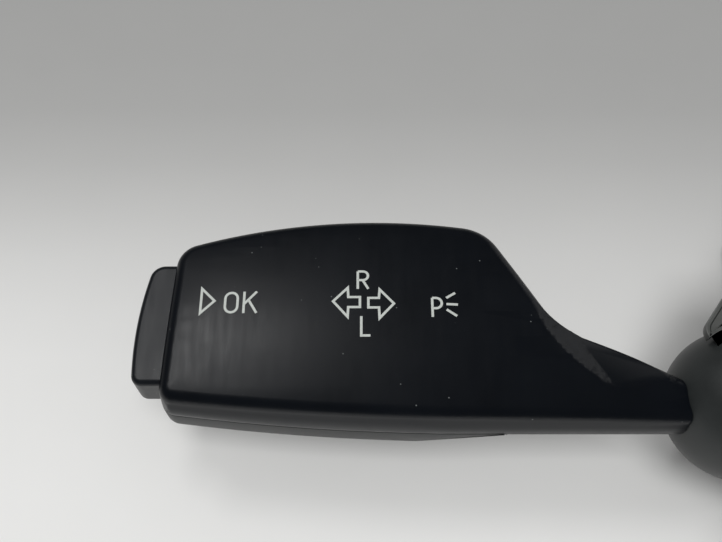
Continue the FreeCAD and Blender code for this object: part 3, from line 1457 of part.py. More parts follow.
os.makedirs("parts", exist_ok=True)
for name, item in pieces.items():
    item.Shape.exportStep(f"parts/{name}.step")
    print(f"{name}: {len(item.Shape.Solids)} solid(s), {item.Shape.Volume:.1f} mm3")
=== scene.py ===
"""Finish of the steering column switch unit: every visible surface, the light and the camera."""
import bmesh
import bpy
import json
import math
from mathutils import Matrix, Vector
from mathutils.bvhtree import BVHTree

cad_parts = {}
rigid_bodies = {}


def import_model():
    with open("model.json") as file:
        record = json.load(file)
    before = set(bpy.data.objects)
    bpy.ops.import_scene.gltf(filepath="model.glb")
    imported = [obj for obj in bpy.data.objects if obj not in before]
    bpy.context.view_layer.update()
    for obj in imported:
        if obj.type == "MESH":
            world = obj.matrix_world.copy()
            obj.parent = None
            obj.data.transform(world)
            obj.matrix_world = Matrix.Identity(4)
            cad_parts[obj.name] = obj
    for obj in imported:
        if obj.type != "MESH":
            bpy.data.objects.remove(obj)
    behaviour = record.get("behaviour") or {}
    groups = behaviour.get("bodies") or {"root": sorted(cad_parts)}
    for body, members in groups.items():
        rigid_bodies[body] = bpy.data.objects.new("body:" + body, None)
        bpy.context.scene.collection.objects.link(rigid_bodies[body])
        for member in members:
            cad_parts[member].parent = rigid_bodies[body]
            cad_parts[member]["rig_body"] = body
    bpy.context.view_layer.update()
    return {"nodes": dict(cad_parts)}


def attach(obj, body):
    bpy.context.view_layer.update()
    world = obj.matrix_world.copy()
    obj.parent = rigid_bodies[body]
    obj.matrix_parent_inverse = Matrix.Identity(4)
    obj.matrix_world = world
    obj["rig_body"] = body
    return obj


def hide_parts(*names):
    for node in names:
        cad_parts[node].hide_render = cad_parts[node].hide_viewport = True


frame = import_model()
nodes = frame["nodes"]
MM = 0.001


# Carrier housing, the round body that bolts to the column bracket. Glass filled nylon, moulded
# in black with the dull grain of an eroded mould; its edges are rubbed a little lighter.
def add_node(tree, kind, sockets=None, **settings):
    """A shader node with its settings, its sockets given a value or linked."""
    made = tree.nodes.new("ShaderNode" + kind)
    for setting, value in settings.items():
        setattr(made, setting, value)
    for socket, value in (sockets or {}).items():
        if isinstance(value, bpy.types.NodeSocket):
            tree.links.new(value, made.inputs[socket])
        else:
            made.inputs[socket].default_value = value
    return made


def new_material(name):
    material = bpy.data.materials.new(name)
    material.use_nodes = True
    tree = material.node_tree
    return material, tree, tree.nodes["Principled BSDF"]


def two_tone(tree, factor, low, high, spread=(0.3, 0.72)):
    """A colour that goes from one tone to another with a pattern."""
    ramp = add_node(tree, "ValToRGB", {"Fac": factor})
    for element, position, colour in zip(ramp.color_ramp.elements, spread, (low, high)):
        element.position = position
        element.color = [*colour, 1]
    return ramp.outputs["Color"]


def grains(tree, place, size, **sockets):
    """Noise whose grains are about as large as the size, in mm."""
    sockets = {"Vector": place, "Scale": 1 / (size * MM), **sockets}
    return add_node(tree, "TexNoise", sockets).outputs["Fac"]


def set_gloss(tree, shader, pattern, low, high, span=(0.0, 1.0)):
    """Roughness that goes from low to high as a pattern goes over its span."""
    gloss = add_node(tree, "MapRange", {"Value": pattern, "From Min": span[0],
                                        "From Max": span[1], "To Min": low, "To Max": high})
    tree.links.new(gloss.outputs["Result"], shader.inputs["Roughness"])


def set_relief(tree, shader, pattern, strength, depth):
    """Fine relief that follows a pattern; its depth in mm."""
    bump = add_node(tree, "Bump", {"Strength": strength, "Distance": depth * MM,
                                   "Height": pattern})
    tree.links.new(bump.outputs["Normal"], shader.inputs["Normal"])


def moulded_plastic(name, colour, rough, pit=0.2, relief=0.05, mottle=0.25, cloud=11.0):
    """A moulding: pits of the given size, faint clouds of colour and gloss; sizes in mm."""
    material, tree, shader = new_material(name)
    place = add_node(tree, "TexCoord").outputs["Object"]
    clouds = grains(tree, place, cloud, Detail=6.0, Roughness=0.65)
    pits = grains(tree, place, pit, Detail=3.0)
    tint = two_tone(tree, clouds, [part * (1 - mottle) for part in colour],
                    [part * (1 + mottle) for part in colour])
    tree.links.new(tint, shader.inputs["Base Color"])
    set_gloss(tree, shader, clouds, rough - 0.07, rough + 0.09)
    set_relief(tree, shader, pits, 0.35, relief)
    return material


def finish(material, *names):
    """Give CAD nodes a finish in their own material slots."""
    for name in names:
        mesh = nodes[name].data
        mesh.materials.clear()
        mesh.materials.append(material)


def select_only(piece):
    bpy.ops.object.select_all(action="DESELECT")
    piece.select_set(True)
    bpy.context.view_layer.objects.active = piece


# Angles in degrees: faces that count as one, edges that get a radius, edges that shade smooth.
FLAT, SHARP, SMOOTH = 0.6, 40, 32


def moulded_copy(name, radius, surface, edge=None, merge=0.002):
    """Stands for a CAD node: the same shape with the small edge radius that a mould leaves.

    The radius is in mm, and so is the distance within which corners are merged first.
    """
    piece = bpy.data.objects.new(name + "_moulded", nodes[name].data.copy())
    bpy.context.scene.collection.objects.link(piece)
    select_only(piece)
    bpy.ops.mesh.customdata_custom_splitnormals_clear()
    bpy.ops.object.mode_set(mode="EDIT")
    bpy.ops.mesh.select_all(action="SELECT")
    bpy.ops.mesh.remove_doubles(threshold=merge * MM)
    bpy.ops.mesh.dissolve_limited(angle_limit=math.radians(FLAT))
    bpy.ops.object.mode_set(mode="OBJECT")
    piece.data.materials.clear()
    piece.data.materials.append(surface)
    if edge:
        piece.data.materials.append(edge)
    bevel = piece.modifiers.new("mould_radius", "BEVEL")
    bevel.width = radius * MM
    bevel.segments = 2
    bevel.limit_method = "ANGLE"
    bevel.angle_limit = math.radians(SHARP)
    bevel.use_clamp_overlap = False
    bevel.material = 1 if edge else 0
    bpy.ops.object.modifier_apply(modifier="mould_radius")
    bpy.ops.object.shade_smooth_by_angle(angle=math.radians(SMOOTH))
    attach(piece, nodes[name]["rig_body"])
    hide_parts(name)
    return piece


housing_black = moulded_plastic("housing_black", (0.019, 0.020, 0.021), 0.52)
housing_edge = moulded_plastic("housing_rubbed_edge", (0.036, 0.037, 0.038), 0.44, mottle=0.4)
moulded_copy("carrier_housing", 0.22, housing_black, housing_edge)


# Control board and its sensor: a glass epoxy board under green lacquer with its copper tracks
# showing through as paler lines; it is screwed to two posts of the carrier.
def lacquered_board(name):
    material, tree, shader = new_material(name)
    shader.inputs["Coat Weight"].default_value = 0.35
    shader.inputs["Coat Roughness"].default_value = 0.2
    place = add_node(tree, "TexCoord").outputs["Object"]
    tracks = add_node(tree, "TexVoronoi", {"Vector": place, "Scale": 1 / (2.4 * MM)},
                      feature="DISTANCE_TO_EDGE", distance="MANHATTAN").outputs["Distance"]
    copper = add_node(tree, "MapRange", {"Value": tracks, "From Min": 0.05, "From Max": 0.09})
    tint = two_tone(tree, copper.outputs["Result"], (0.03, 0.13, 0.05), (0.008, 0.055, 0.022),
                    (0.0, 1.0))
    tree.links.new(tint, shader.inputs["Base Color"])
    set_gloss(tree, shader, grains(tree, place, 0.5), 0.3, 0.5)
    set_relief(tree, shader, copper.outputs["Result"], 0.4, 0.04)
    return material


board_green = lacquered_board("board_green")
finish(board_green, "control_board")
connector_black = moulded_plastic("connector_black", (0.014, 0.014, 0.015), 0.4, pit=0.12,
                                  relief=0.02)
connector_edge = moulded_plastic("connector_rubbed_edge", (0.03, 0.03, 0.032), 0.36, pit=0.12)
finish(connector_black, "angle_sensor")

# Vehicle socket: a glossy black polyester shell under the board, its mouth to the front, with
# guide ribs and a latch below. The tin plated pins are pressed through its back wall.
moulded_copy("vehicle_socket", 0.18, connector_black, connector_edge)


def plated_metal(name, colour, rough):
    """Plated steel or brass: cloudy gloss and short fine scratches; sizes in mm."""
    scratch, cloud, dull = 0.25, 2.5, 0.12
    material, tree, shader = new_material(name)
    shader.inputs["Metallic"].default_value = 1.0
    place = add_node(tree, "TexCoord").outputs["Object"]
    drawn = add_node(tree, "Mapping", {"Vector": place, "Scale": (1.0, 6.0, 1.0)})
    scratches = grains(tree, drawn.outputs["Vector"], scratch, Detail=4.0)
    haze = grains(tree, place, cloud, Detail=5.0)
    tint = two_tone(tree, haze, [part * 0.7 for part in colour], colour)
    tree.links.new(tint, shader.inputs["Base Color"])
    set_gloss(tree, shader, haze, rough - dull, rough + dull)
    set_relief(tree, shader, scratches, 0.25, 0.01)
    return material


tinned_brass = plated_metal("tinned_brass", (0.72, 0.70, 0.66), 0.3)
finish(tinned_brass, "socket_pins", "rotor_pins")

# Board screws: two small pan head screws, zinc plated, with a six lobe recess. One screw is
# modelled and copied; its shank runs down into the post.
zinc = plated_metal("zinc_plate", (0.62, 0.63, 0.65), 0.34)


def pick(piece, kind, test):
    """In edit mode, select only the faces or edges whose middle and normal pass a test."""
    bpy.ops.mesh.select_all(action="DESELECT")
    shape = bmesh.from_edit_mesh(piece.data)
    for item in getattr(shape, kind):
        middle = sum((corner.co for corner in item.verts), Vector()) / len(item.verts)
        normal = item.normal if kind == "faces" else Vector()
        item.select_set(test(middle, normal))
    shape.select_flush_mode()
    bmesh.update_edit_mesh(piece.data)


def lobed_screw(head, tall, shank, length):
    """One screw at the origin, head up, the underside of its head at zero; sizes in mm."""
    sides = 24
    lobe = 0.5 * head
    soft = 0.35 * tall
    recess = 0.6 * tall
    waist = 0.76
    bpy.ops.object.select_all(action="DESELECT")
    bpy.ops.mesh.primitive_cylinder_add(vertices=sides, radius=head * MM, depth=tall * MM,
                                        location=(0, 0, tall * MM / 2))
    screw = bpy.context.object
    bpy.ops.object.transform_apply(location=True, rotation=True, scale=True)
    bpy.ops.object.mode_set(mode="EDIT")
    pick(screw, "edges", lambda middle, normal: middle.z > 0.99 * tall * MM)
    bpy.ops.mesh.bevel(offset=soft * MM, segments=3, affect="EDGES")
    pick(screw, "faces", lambda middle, normal: normal.z > 0.99)
    bpy.ops.mesh.inset(thickness=(head - soft - lobe) * MM)
    shape = bmesh.from_edit_mesh(screw.data)
    for corner in [item for item in shape.verts if item.select]:
        step = round(math.atan2(corner.co.y, corner.co.x) / (2 * math.pi / sides))
        if step % 4 in (2, 3):  # two of every four corners are drawn in, which leaves six lobes
            corner.co.xy *= waist
    bmesh.update_edit_mesh(screw.data)
    bpy.ops.mesh.extrude_region_move(TRANSFORM_OT_translate={"value": (0, 0, -recess * MM)})
    pick(screw, "faces", lambda middle, normal: normal.z < -0.99)
    bpy.ops.mesh.inset(thickness=(head - shank) * MM)
    bpy.ops.mesh.extrude_region_move(TRANSFORM_OT_translate={"value": (0, 0, -length * MM)})
    bpy.ops.object.mode_set(mode="OBJECT")
    bpy.ops.object.shade_smooth_by_angle(angle=math.radians(35))
    return screw


def screw_set(name, screw, places, head_down=False):
    """Copies of one screw, each turned its own way, joined to one piece; places in mm."""
    first_turn, next_turn = 17, 41
    copies = []
    for index, place in enumerate(places):
        copy = bpy.data.objects.new(f"{name}_{index}", screw.data.copy())
        bpy.context.scene.collection.objects.link(copy)
        turn = Matrix.Rotation(math.radians(first_turn + next_turn * index), 4, "Z")
        tip = Matrix.Rotation(math.pi if head_down else 0.0, 4, "X")
        copy.data.transform(Matrix.Translation(Vector(place) * MM) @ tip @ turn)
        copies.append(copy)
    select_only(copies[0])
    for copy in copies:
        copy.select_set(True)
    bpy.ops.object.join()
    piece = bpy.context.object
    piece.name = name + "_lobed"
    piece.data.materials.clear()
    piece.data.materials.append(zinc)
    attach(piece, nodes[name]["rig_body"])
    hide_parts(name)


BOARD_SCREW = (29, -25, 25.6)
small_screw = lobed_screw(2.1, 1.4, 1.1, 6.5)
across, up, high = BOARD_SCREW
screw_set("board_screws", small_screw, [(sign * across, up, high) for sign in (-1, 1)])

# Switch cases: a box on each side with a cup round the ball, the same black nylon as the
# carrier. Each slides into a pocket of the drum and hangs on two screwed lugs.
for side in ("turn", "wiper"):
    moulded_copy(side + "_switch_case", 0.2, housing_black, housing_edge)


def four_corners(across, up, high):
    """One place repeated in the four corners of the unit."""
    return [(side * across, end * up, high) for side in (-1, 1) for end in (-1, 1)]


CASE_SCREW = (38.48, 20.5, 28.2)
large_screw = lobed_screw(3.0, 1.8, 1.6, 11.0)
screw_set("case_screws", large_screw, four_corners(*CASE_SCREW))

# Inside each case: contact board, detent track, swivel bracket on its cross pin, contact wiper,
# lever arm, plunger and spring. The sliding ones are natural acetal, greasy smooth.
acetal = moulded_plastic("acetal_natural", (0.62, 0.60, 0.55), 0.34, pit=0.5, relief=0.01,
                         mottle=0.06)
spring_steel = plated_metal("spring_steel", (0.42, 0.42, 0.43), 0.28)
contact_bronze = plated_metal("contact_bronze", (0.66, 0.47, 0.26), 0.3)
for side in ("turn", "wiper"):
    finish(board_green, side + "_contact_board", side + "_button_board")
    finish(acetal, side + "_detent_track", side + "_swivel_bracket", side + "_lever_arm",
           side + "_detent_plunger")
    finish(spring_steel, side + "_detent_spring", side + "_button_spring")
    finish(contact_bronze, side + "_contact_wiper")
    finish(zinc, side + "_cross_pin")

# Switch case lids: dark grey nylon plates whose outer corner reaches past the ball. A narrow
# groove runs inside a raised rim all round, as on the corner beside the ball.
lid_grey = moulded_plastic("lid_grey", (0.075, 0.078, 0.074), 0.5, pit=0.3, relief=0.04)
lid_edge = moulded_plastic("lid_rubbed_edge", (0.12, 0.125, 0.12), 0.42)
LID_TOP, RIM, GROOVE, GROOVE_DOWN, GROOVE_UP = 33.9, 0.5, 0.25, 0.35, 0.3
for side in ("turn", "wiper"):
    lid = moulded_copy(side + "_switch_lid", 0.1, lid_grey, lid_edge, merge=0.06)
    select_only(lid)
    bpy.ops.object.mode_set(mode="EDIT")
    pick(lid, "faces", lambda middle, normal: normal.z > 0.99 and middle.z > LID_TOP * MM)
    bpy.ops.mesh.inset(thickness=RIM * MM)
    bpy.ops.mesh.inset(thickness=GROOVE / 2 * MM, depth=-GROOVE_DOWN * MM)
    bpy.ops.mesh.inset(thickness=GROOVE / 2 * MM, depth=GROOVE_UP * MM)
    bpy.ops.object.mode_set(mode="OBJECT")
    bpy.ops.object.shade_smooth_by_angle(angle=math.radians(SMOOTH))

# Ball covers: thin moulded domes that close the cup round each lever's root and move with the
# lever. A dull dark grey nylon, a little lighter than the handle.
ball_grey = moulded_plastic("ball_satin", (0.021, 0.024, 0.024), 0.46, pit=0.25, relief=0.03)
finish(ball_grey, "turn_ball_cover", "wiper_ball_cover")


# Front shells of the handles: satin black paint on a moulded paddle, rubbed by the hand, with a
# few grains of dust on it. They are screwed to the rear shells.
def satin_paint(name, colour, rough, dust):
    """Soft black paint: cross rubbed gloss and scattered specks, more of them the more dust."""
    material, tree, shader = new_material(name)
    shader.inputs["Specular IOR Level"].default_value = 0.34
    place = add_node(tree, "TexCoord").outputs["Object"]
    streaks = add_node(tree, "Mapping", {"Vector": place, "Scale": (1.0, 0.12, 1.0)})
    rubbed = grains(tree, streaks.outputs["Vector"], 1.3, Detail=5.0)
    clouds = grains(tree, place, 14, Detail=5.0, Roughness=0.6)
    both = add_node(tree, "Math", {0: rubbed, 1: clouds}, operation="ADD").outputs["Value"]
    set_gloss(tree, shader, both, rough - 0.05, rough + 0.05, span=(0.6, 1.4))
    cells = add_node(tree, "TexVoronoi", {"Vector": place, "Scale": 1 / (2.6 * MM)})
    near = add_node(tree, "MapRange", {"Value": cells.outputs["Distance"], "From Min": 0.03,
                                       "From Max": 0.06, "To Min": 1.0, "To Max": 0.0})
    drawn = add_node(tree, "SeparateColor", {"Color": cells.outputs["Color"]})
    chosen = add_node(tree, "Math", {0: drawn.outputs["Red"], 1: 1.0 - dust},
                      operation="GREATER_THAN")
    speck = add_node(tree, "Math", {0: near.outputs["Result"], 1: chosen.outputs["Value"]},
                     operation="MULTIPLY")
    paint = two_tone(tree, clouds, [part * 0.85 for part in colour],
                     [part * 1.15 for part in colour])
    dusty = add_node(tree, "Mix", {0: speck.outputs["Value"], 6: paint,
                                   7: (0.13, 0.14, 0.14, 1)}, data_type="RGBA")
    tree.links.new(dusty.outputs[2], shader.inputs["Base Color"])
    set_relief(tree, shader, grains(tree, place, 0.14), 0.3, 0.008)
    return material


def keep_only(piece, test):
    """In edit mode, hide all but the faces that pass a test and look into open space."""
    off = 0.02 * MM
    bpy.ops.mesh.reveal()
    bpy.ops.mesh.select_all(action="DESELECT")
    shape = bmesh.from_edit_mesh(piece.data)
    inside = BVHTree.FromBMesh(shape)
    for face in shape.faces:
        middle = face.calc_center_median()
        face.select_set(test(middle, face.normal) and inside.ray_cast(
            middle + face.normal * off, face.normal)[0] is None)
    bmesh.update_edit_mesh(piece.data)
    bpy.ops.mesh.hide(unselected=True)


def slice_faces(spots, across):
    """Cut the faces in view into narrow ones by parallel planes; spots in mm."""
    for spot in spots:
        bpy.ops.mesh.select_all(action="SELECT")
        bpy.ops.mesh.bisect(plane_co=Vector(across) * spot * MM, plane_no=across)


def shown_corners(shape):
    """The corners of the faces in view."""
    return [corner for corner in shape.verts if not corner.hide]


# The lower wall, in mm: the line where it starts, its upper edge at the middle of the paddle,
# the bow of that edge as twice its radius, the crown, and how far apart the wall is cut.
PARTING, WALL_TOP, PADDLE_MIDDLE, WALL_BOW = 26.08, 30.6, 122, 1600
WALL_BULGE, WALL_CUT, WALL_CUTS = 0.3, 0.7, 7
# The neck, in mm: where it starts and ends across and up, how far apart it is cut, and the
# centre and the reach of the hollow that is smoothed.
NECK_FROM, NECK_TO, NECK_LOW, NECK_HIGH, NECK_CUT = 73, 106, -3, 20, 0.9
HOLLOW_ACROSS, HOLLOW_UP, HOLLOW_REACH = 68.2, 25.6, 30.3
handle_satin = satin_paint("handle_satin", (0.0022, 0.0034, 0.0056), 0.335, 0.55)
shells = {}
for side, sign in (("turn", -1), ("wiper", 1)):
    shell = moulded_copy(side + "_front_shell", 0.14, handle_satin)
    shells[side] = shell
    select_only(shell)
    bpy.ops.object.mode_set(mode="EDIT")

    # The long lower wall is crowned a little, so its gloss grows towards the parting line.
    keep_only(shell, lambda middle, normal: normal.y < -0.5 and abs(normal.x) < 0.6
              and middle.y < 1.0 * MM)
    slice_faces([PARTING + step * WALL_CUT for step in range(1, WALL_CUTS + 1)], (0, 0, 1))
    shape = bmesh.from_edit_mesh(shell.data)
    for corner in shown_corners(shape):
        along = abs(corner.co.x) / MM - PADDLE_MIDDLE
        height = WALL_TOP - along * along / WALL_BOW - PARTING
        rise = (corner.co.z / MM - PARTING) / height
        if 0 < rise < 1:
            corner.co.y -= 4 * WALL_BULGE * rise * (1 - rise) * MM

    # The neck runs out of the paddle in one soft hollow below the crisp end of the face.
    keep_only(shell, lambda middle, normal: normal.z > 0.75
              and NECK_FROM * MM < abs(middle.x) < NECK_TO * MM)
    slice_faces([sign * (NECK_FROM + step * NECK_CUT)
                 for step in range(math.ceil((NECK_TO - NECK_FROM) / NECK_CUT))], (1, 0, 0))
    slice_faces([NECK_LOW + step * NECK_CUT
                 for step in range(math.ceil((NECK_HIGH - NECK_LOW) / NECK_CUT))], (0, 1, 0))
    bpy.ops.mesh.select_all(action="DESELECT")
    shape = bmesh.from_edit_mesh(shell.data)
    for corner in shown_corners(shape):
        enclosed = not any(face.hide for face in corner.link_faces)
        away = math.hypot(abs(corner.co.x) / MM - HOLLOW_ACROSS, corner.co.y / MM - HOLLOW_UP)
        corner.select_set(enclosed and away < HOLLOW_REACH)
    bmesh.update_edit_mesh(shell.data)
    bpy.ops.mesh.vertices_smooth(factor=0.5, repeat=10, xaxis=False, yaxis=False, zaxis=True)
    bpy.ops.mesh.reveal()
    bpy.ops.object.mode_set(mode="OBJECT")


# Marks on the front shells: pale grey ink, pad printed in one pass, so every line is equally
# wide. Lines are flat strips laid on the face; a letter is drawn with them as with a pen.
def ink(name, colour):
    material, tree, shader = new_material(name)
    place = add_node(tree, "TexCoord").outputs["Object"]
    worn = grains(tree, place, 0.25, Detail=4.0)
    tint = two_tone(tree, worn, [part * 0.8 for part in colour], colour)
    tree.links.new(tint, shader.inputs["Base Color"])
    set_gloss(tree, shader, worn, 0.45, 0.7)
    return material


mark_ink = ink("mark_ink", (0.56, 0.59, 0.56))
# A line in mm: its width, its thickness, its lift off the face, the longest of its pieces, and
# the height from which it is laid down. The last number keeps the mitre of a sharp corner short.
LINE, FILM, LIFT, PIECE, ABOVE = 0.46, 0.1, 0.03, 1.2, 40
MITRE = 0.35


def printed_line(shape, points, closed=False):
    """Add one line of ink to a mesh, a strip with mitred corners; points in mm."""
    points = [Vector(point) for point in points]
    path = []
    for start, end in zip(points, points[1:] + (points[:1] if closed else [])):
        pieces = max(1, math.ceil((end - start).length / PIECE))
        path += [start.lerp(end, step / pieces) for step in range(pieces)]
    if not closed:
        path.append(points[-1])
    count = len(path)
    rails = []
    for index, point in enumerate(path):
        before = path[index - 1] if closed or index else None
        after = path[(index + 1) % count] if closed or index < count - 1 else None
        into = (point - before).normalized() if before is not None else None
        out = (after - point).normalized() if after is not None else into
        into = out if into is None else into
        along = (into + out).normalized()
        side = Vector((-along.y, along.x))
        reach = LINE / 2 / max(MITRE, side.dot(Vector((-out.y, out.x))))
        rails.append([shape.verts.new((*(point + side * reach * sign) * MM, ABOVE * MM))
                      for sign in (1, -1)])
    for index in range(count if closed else count - 1):
        left, right = rails[index]
        left_next, right_next = rails[(index + 1) % count]
        shape.faces.new((left, right, right_next, left_next))


def bowl(left, low, high, wide):
    """The round part of a P or R, from the stem at its top back to the stem."""
    middle, half = (low + high) / 2, (high - low) / 2
    straight = left + wide - half
    arc = [(straight + half * math.cos(math.radians(angle)),
            middle + half * math.sin(math.radians(angle))) for angle in range(90, -91, -18)]
    return [(left, high)] + arc + [(left, low)]


def ring(left, low, right, high):
    """A narrow letter O, also a nought, closed at its start."""
    half = (right - left) / 2
    middle = (left + right) / 2
    top = [(middle + half * math.cos(math.radians(angle)),
            high - half + half * math.sin(math.radians(angle))) for angle in range(0, 181, 20)]
    bottom = [(middle + half * math.cos(math.radians(angle)),
               low + half + half * math.sin(math.radians(angle))) for angle in range(180, 361, 20)]
    return top + bottom + top[:1]


def printed_marks(name, shell, lines):
    """Lay the lines of ink on a front shell; a line that ends where it starts is closed."""
    mesh = bpy.data.meshes.new(name)
    shape = bmesh.new()
    for line in lines:
        closed = len(line) > 2 and line[0] == line[-1]
        printed_line(shape, line[:-1] if closed else line, closed)
    shape.to_mesh(mesh)
    shape.free()
    piece = bpy.data.objects.new(name, mesh)
    bpy.context.scene.collection.objects.link(piece)
    select_only(piece)
    lay = piece.modifiers.new("lay_on_face", "SHRINKWRAP")
    lay.target = shells[shell]
    lay.wrap_method = "PROJECT"
    lay.use_project_z = True
    lay.use_positive_direction = False
    lay.use_negative_direction = True
    lay.offset = LIFT * MM
    bpy.ops.object.modifier_apply(modifier="lay_on_face")
    bpy.ops.object.mode_set(mode="EDIT")
    bpy.ops.mesh.select_all(action="SELECT")
    bpy.ops.mesh.normals_make_consistent(inside=False)
    bpy.ops.object.mode_set(mode="OBJECT")
    if sum(face.normal.z for face in mesh.polygons) < 0:
        mesh.flip_normals()
    film = piece.modifiers.new("film", "SOLIDIFY")
    film.thickness = FILM * MM
    film.offset = -1.0
    bpy.ops.object.modifier_apply(modifier="film")
    mesh.materials.append(mark_ink)
    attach(piece, nodes[shell + "_front_shell"]["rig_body"])


# Left lever: a pointer and a function word, the two direction arrows with R and L, parking light.
printed_marks("turn_marks", "turn", [
    # pointer
    [(-159.7, 19.75), (-159.7, 14.75), (-157.2, 17.2), (-159.7, 19.75)],
    # O and K
    ring(-155.2, 14.8, -152.9, 18.8),
    [(-151.7, 14.6), (-151.7, 19.0)], [(-149.4, 19.0), (-151.7, 16.4)],
    [(-150.9, 17.3), (-149.3, 14.6)],
    # arrow to the left and arrow to the right
    [(-135.25, 16.8), (-132.55, 19.6), (-132.45, 17.65), (-130.3, 17.65), (-130.3, 15.6),
     (-132.45, 15.6), (-132.55, 13.65), (-135.25, 16.8)],
    [(-124.05, 16.3), (-126.65, 19.2), (-126.8, 17.45), (-128.75, 17.45), (-128.75, 15.5),
     (-126.8, 15.5), (-126.7, 13.35), (-124.05, 16.3)],
    # R above the arrows, L below them
    [(-130.7, 19.35), (-130.7, 23.05)], bowl(-130.7, 21.2, 23.05, 1.9),
    [(-129.8, 21.2), (-128.75, 19.35)],
    [(-130.05, 13.75), (-130.05, 9.95), (-128.4, 9.95)],
    # P with three rays
    [(-117.0, 13.6), (-117.0, 17.45)], bowl(-117.0, 15.35, 17.45, 1.75),
    [(-114.4, 17.45), (-112.7, 18.5)], [(-114.4, 16.2), (-112.3, 16.1)],
    [(-114.4, 15.1), (-112.55, 13.8)],
])

# Right lever: wiper positions as strokes and a nought, up and down arrows, and a plus and minus
# beside the thumb wheel.
printed_marks("wiper_marks", "wiper", [
    # nought, one stroke, two strokes
    ring(153.2, 14.9, 155.2, 18.7),
    [(157.2, 14.8), (157.2, 18.8)],
    [(159.1, 14.8), (159.1, 18.8)], [(160.3, 14.8), (160.3, 18.8)],
    # arrow up and arrow down
    [(146.0, 21.0), (148.2, 18.2), (143.8, 18.2), (146.0, 21.0)],
    [(146.0, 12.2), (143.8, 15.0), (148.2, 15.0), (146.0, 12.2)],
    # plus and minus
    [(130.0, 22.2), (130.0, 25.4)], [(128.4, 23.8), (131.6, 23.8)],
    [(128.4, 4.0), (131.6, 4.0)],
])

# Rear shells of the handles: the same moulding unpainted, a shade lighter, closed to the front
# shell along a fine dark gap and held by two screws from behind.
back_black = moulded_plastic("handle_back_black", (0.016, 0.0175, 0.018), 0.42, pit=0.16,
                             relief=0.02)
for side in ("turn", "wiper"):
    moulded_copy(side + "_rear_shell", 0.14, back_black)
SHELL_SCREWS = [(118, 22, 20.4), (142, 4, 20.4)]
shell_screw = lobed_screw(2.1, 1.4, 1.1, 9.5)
for side, sign in (("turn", -1), ("wiper", 1)):
    screw_set(side + "_shell_screws", shell_screw,
              [(sign * across, up, high) for across, up, high in SHELL_SCREWS], head_down=True)

# End buttons: long push buttons of the painted plastic, a little more worn, that fill the end
# of each handle and slide into it on a spring.
button_satin = satin_paint("button_satin", (0.0065, 0.008, 0.0105), 0.36, 0.75)
finish(button_satin, "turn_end_button", "wiper_end_button")

# Thumb wheel of the wiper lever: a ribbed black wheel on a steel axle held under the face.
wheel_black = moulded_plastic("wheel_black", (0.012, 0.013, 0.014), 0.45, pit=0.15)
finish(wheel_black, "wiper_thumb_wheel")
finish(zinc, "wiper_thumb_axle")

# Clock spring cassette: base plate and cup shaped cover of black acetal blend, smoother than
# the carrier, with gripping ribs round the cover.
cassette_black = moulded_plastic("cassette_black", (0.024, 0.025, 0.027), 0.42, pit=0.35,
                                 relief=0.03, cloud=18.0)
cassette_edge = moulded_plastic("cassette_rubbed_edge", (0.045, 0.046, 0.048), 0.36)
moulded_copy("cassette_base", 0.2, cassette_black, cassette_edge)
moulded_copy("cassette_cover", 0.2, cassette_black, cassette_edge)
finish(connector_black, "inner_terminal_block")
moulded_copy("outer_terminal_block", 0.25, connector_black, connector_edge)
CASSETTE_SCREW = (26.6, 46.07, 39.0)
screw_set("cassette_screws", large_screw, four_corners(*CASSETTE_SCREW))


# Ribbon cable: copper strips side by side between two clear amber films, wound edge up.
def striped_film(name):
    """Clear film over copper; at this scale a strip and its gap take 10 mm."""
    strip_scale = 31.25
    material, tree, shader = new_material(name)
    shader.inputs["Coat Weight"].default_value = 0.5
    shader.inputs["Coat Roughness"].default_value = 0.15
    place = add_node(tree, "TexCoord").outputs["Object"]
    strips = add_node(tree, "TexWave", {"Vector": place, "Scale": strip_scale,
                                        "Distortion": 0.0}, bands_direction="Z")
    film = two_tone(tree, strips.outputs["Fac"], (0.62, 0.52, 0.34), (0.72, 0.36, 0.16),
                    (0.42, 0.5))
    tree.links.new(film, shader.inputs["Base Color"])
    set_gloss(tree, shader, grains(tree, place, 3), 0.2, 0.4)
    return material


finish(striped_film("ribbon_film"), "ribbon_cable")

# Rotor: natural acetal hub with its flange, the retainer ring and the slotted code disc below,
# and the two drive pins that enter the steering wheel.
rotor_grey = moulded_plastic("rotor_grey", (0.36, 0.36, 0.34), 0.4, pit=0.4, relief=0.02,
                             mottle=0.05)
rotor_edge = moulded_plastic("rotor_rubbed_edge", (0.42, 0.42, 0.40), 0.34, mottle=0.08)
moulded_copy("rotor_hub", 0.2, rotor_grey, rotor_edge)
finish(rotor_grey, "rotor_retainer")
finish(moulded_plastic("code_disc_black", (0.008, 0.008, 0.009), 0.6), "angle_code_disc")
finish(acetal, "drive_pins")

# Sockets on the rotor: two yellow ones for the airbag leads and a black one for the switches in
# the wheel, each an open shell with a latch nib outside.
airbag_yellow = moulded_plastic("airbag_yellow", (0.78, 0.46, 0.02), 0.38, pit=0.2, relief=0.02,
                                mottle=0.05)
yellow_edge = moulded_plastic("yellow_rubbed_edge", (0.82, 0.54, 0.08), 0.33, mottle=0.05)
for side in ("left", "right"):
    moulded_copy("airbag_socket_" + side, 0.15, airbag_yellow, yellow_edge)
moulded_copy("wheel_socket", 0.15, connector_black, connector_edge)

# The three screws that the others were copied from aren't part of the unit.
for start in (small_screw, large_screw, shell_screw):
    bpy.data.objects.remove(start)

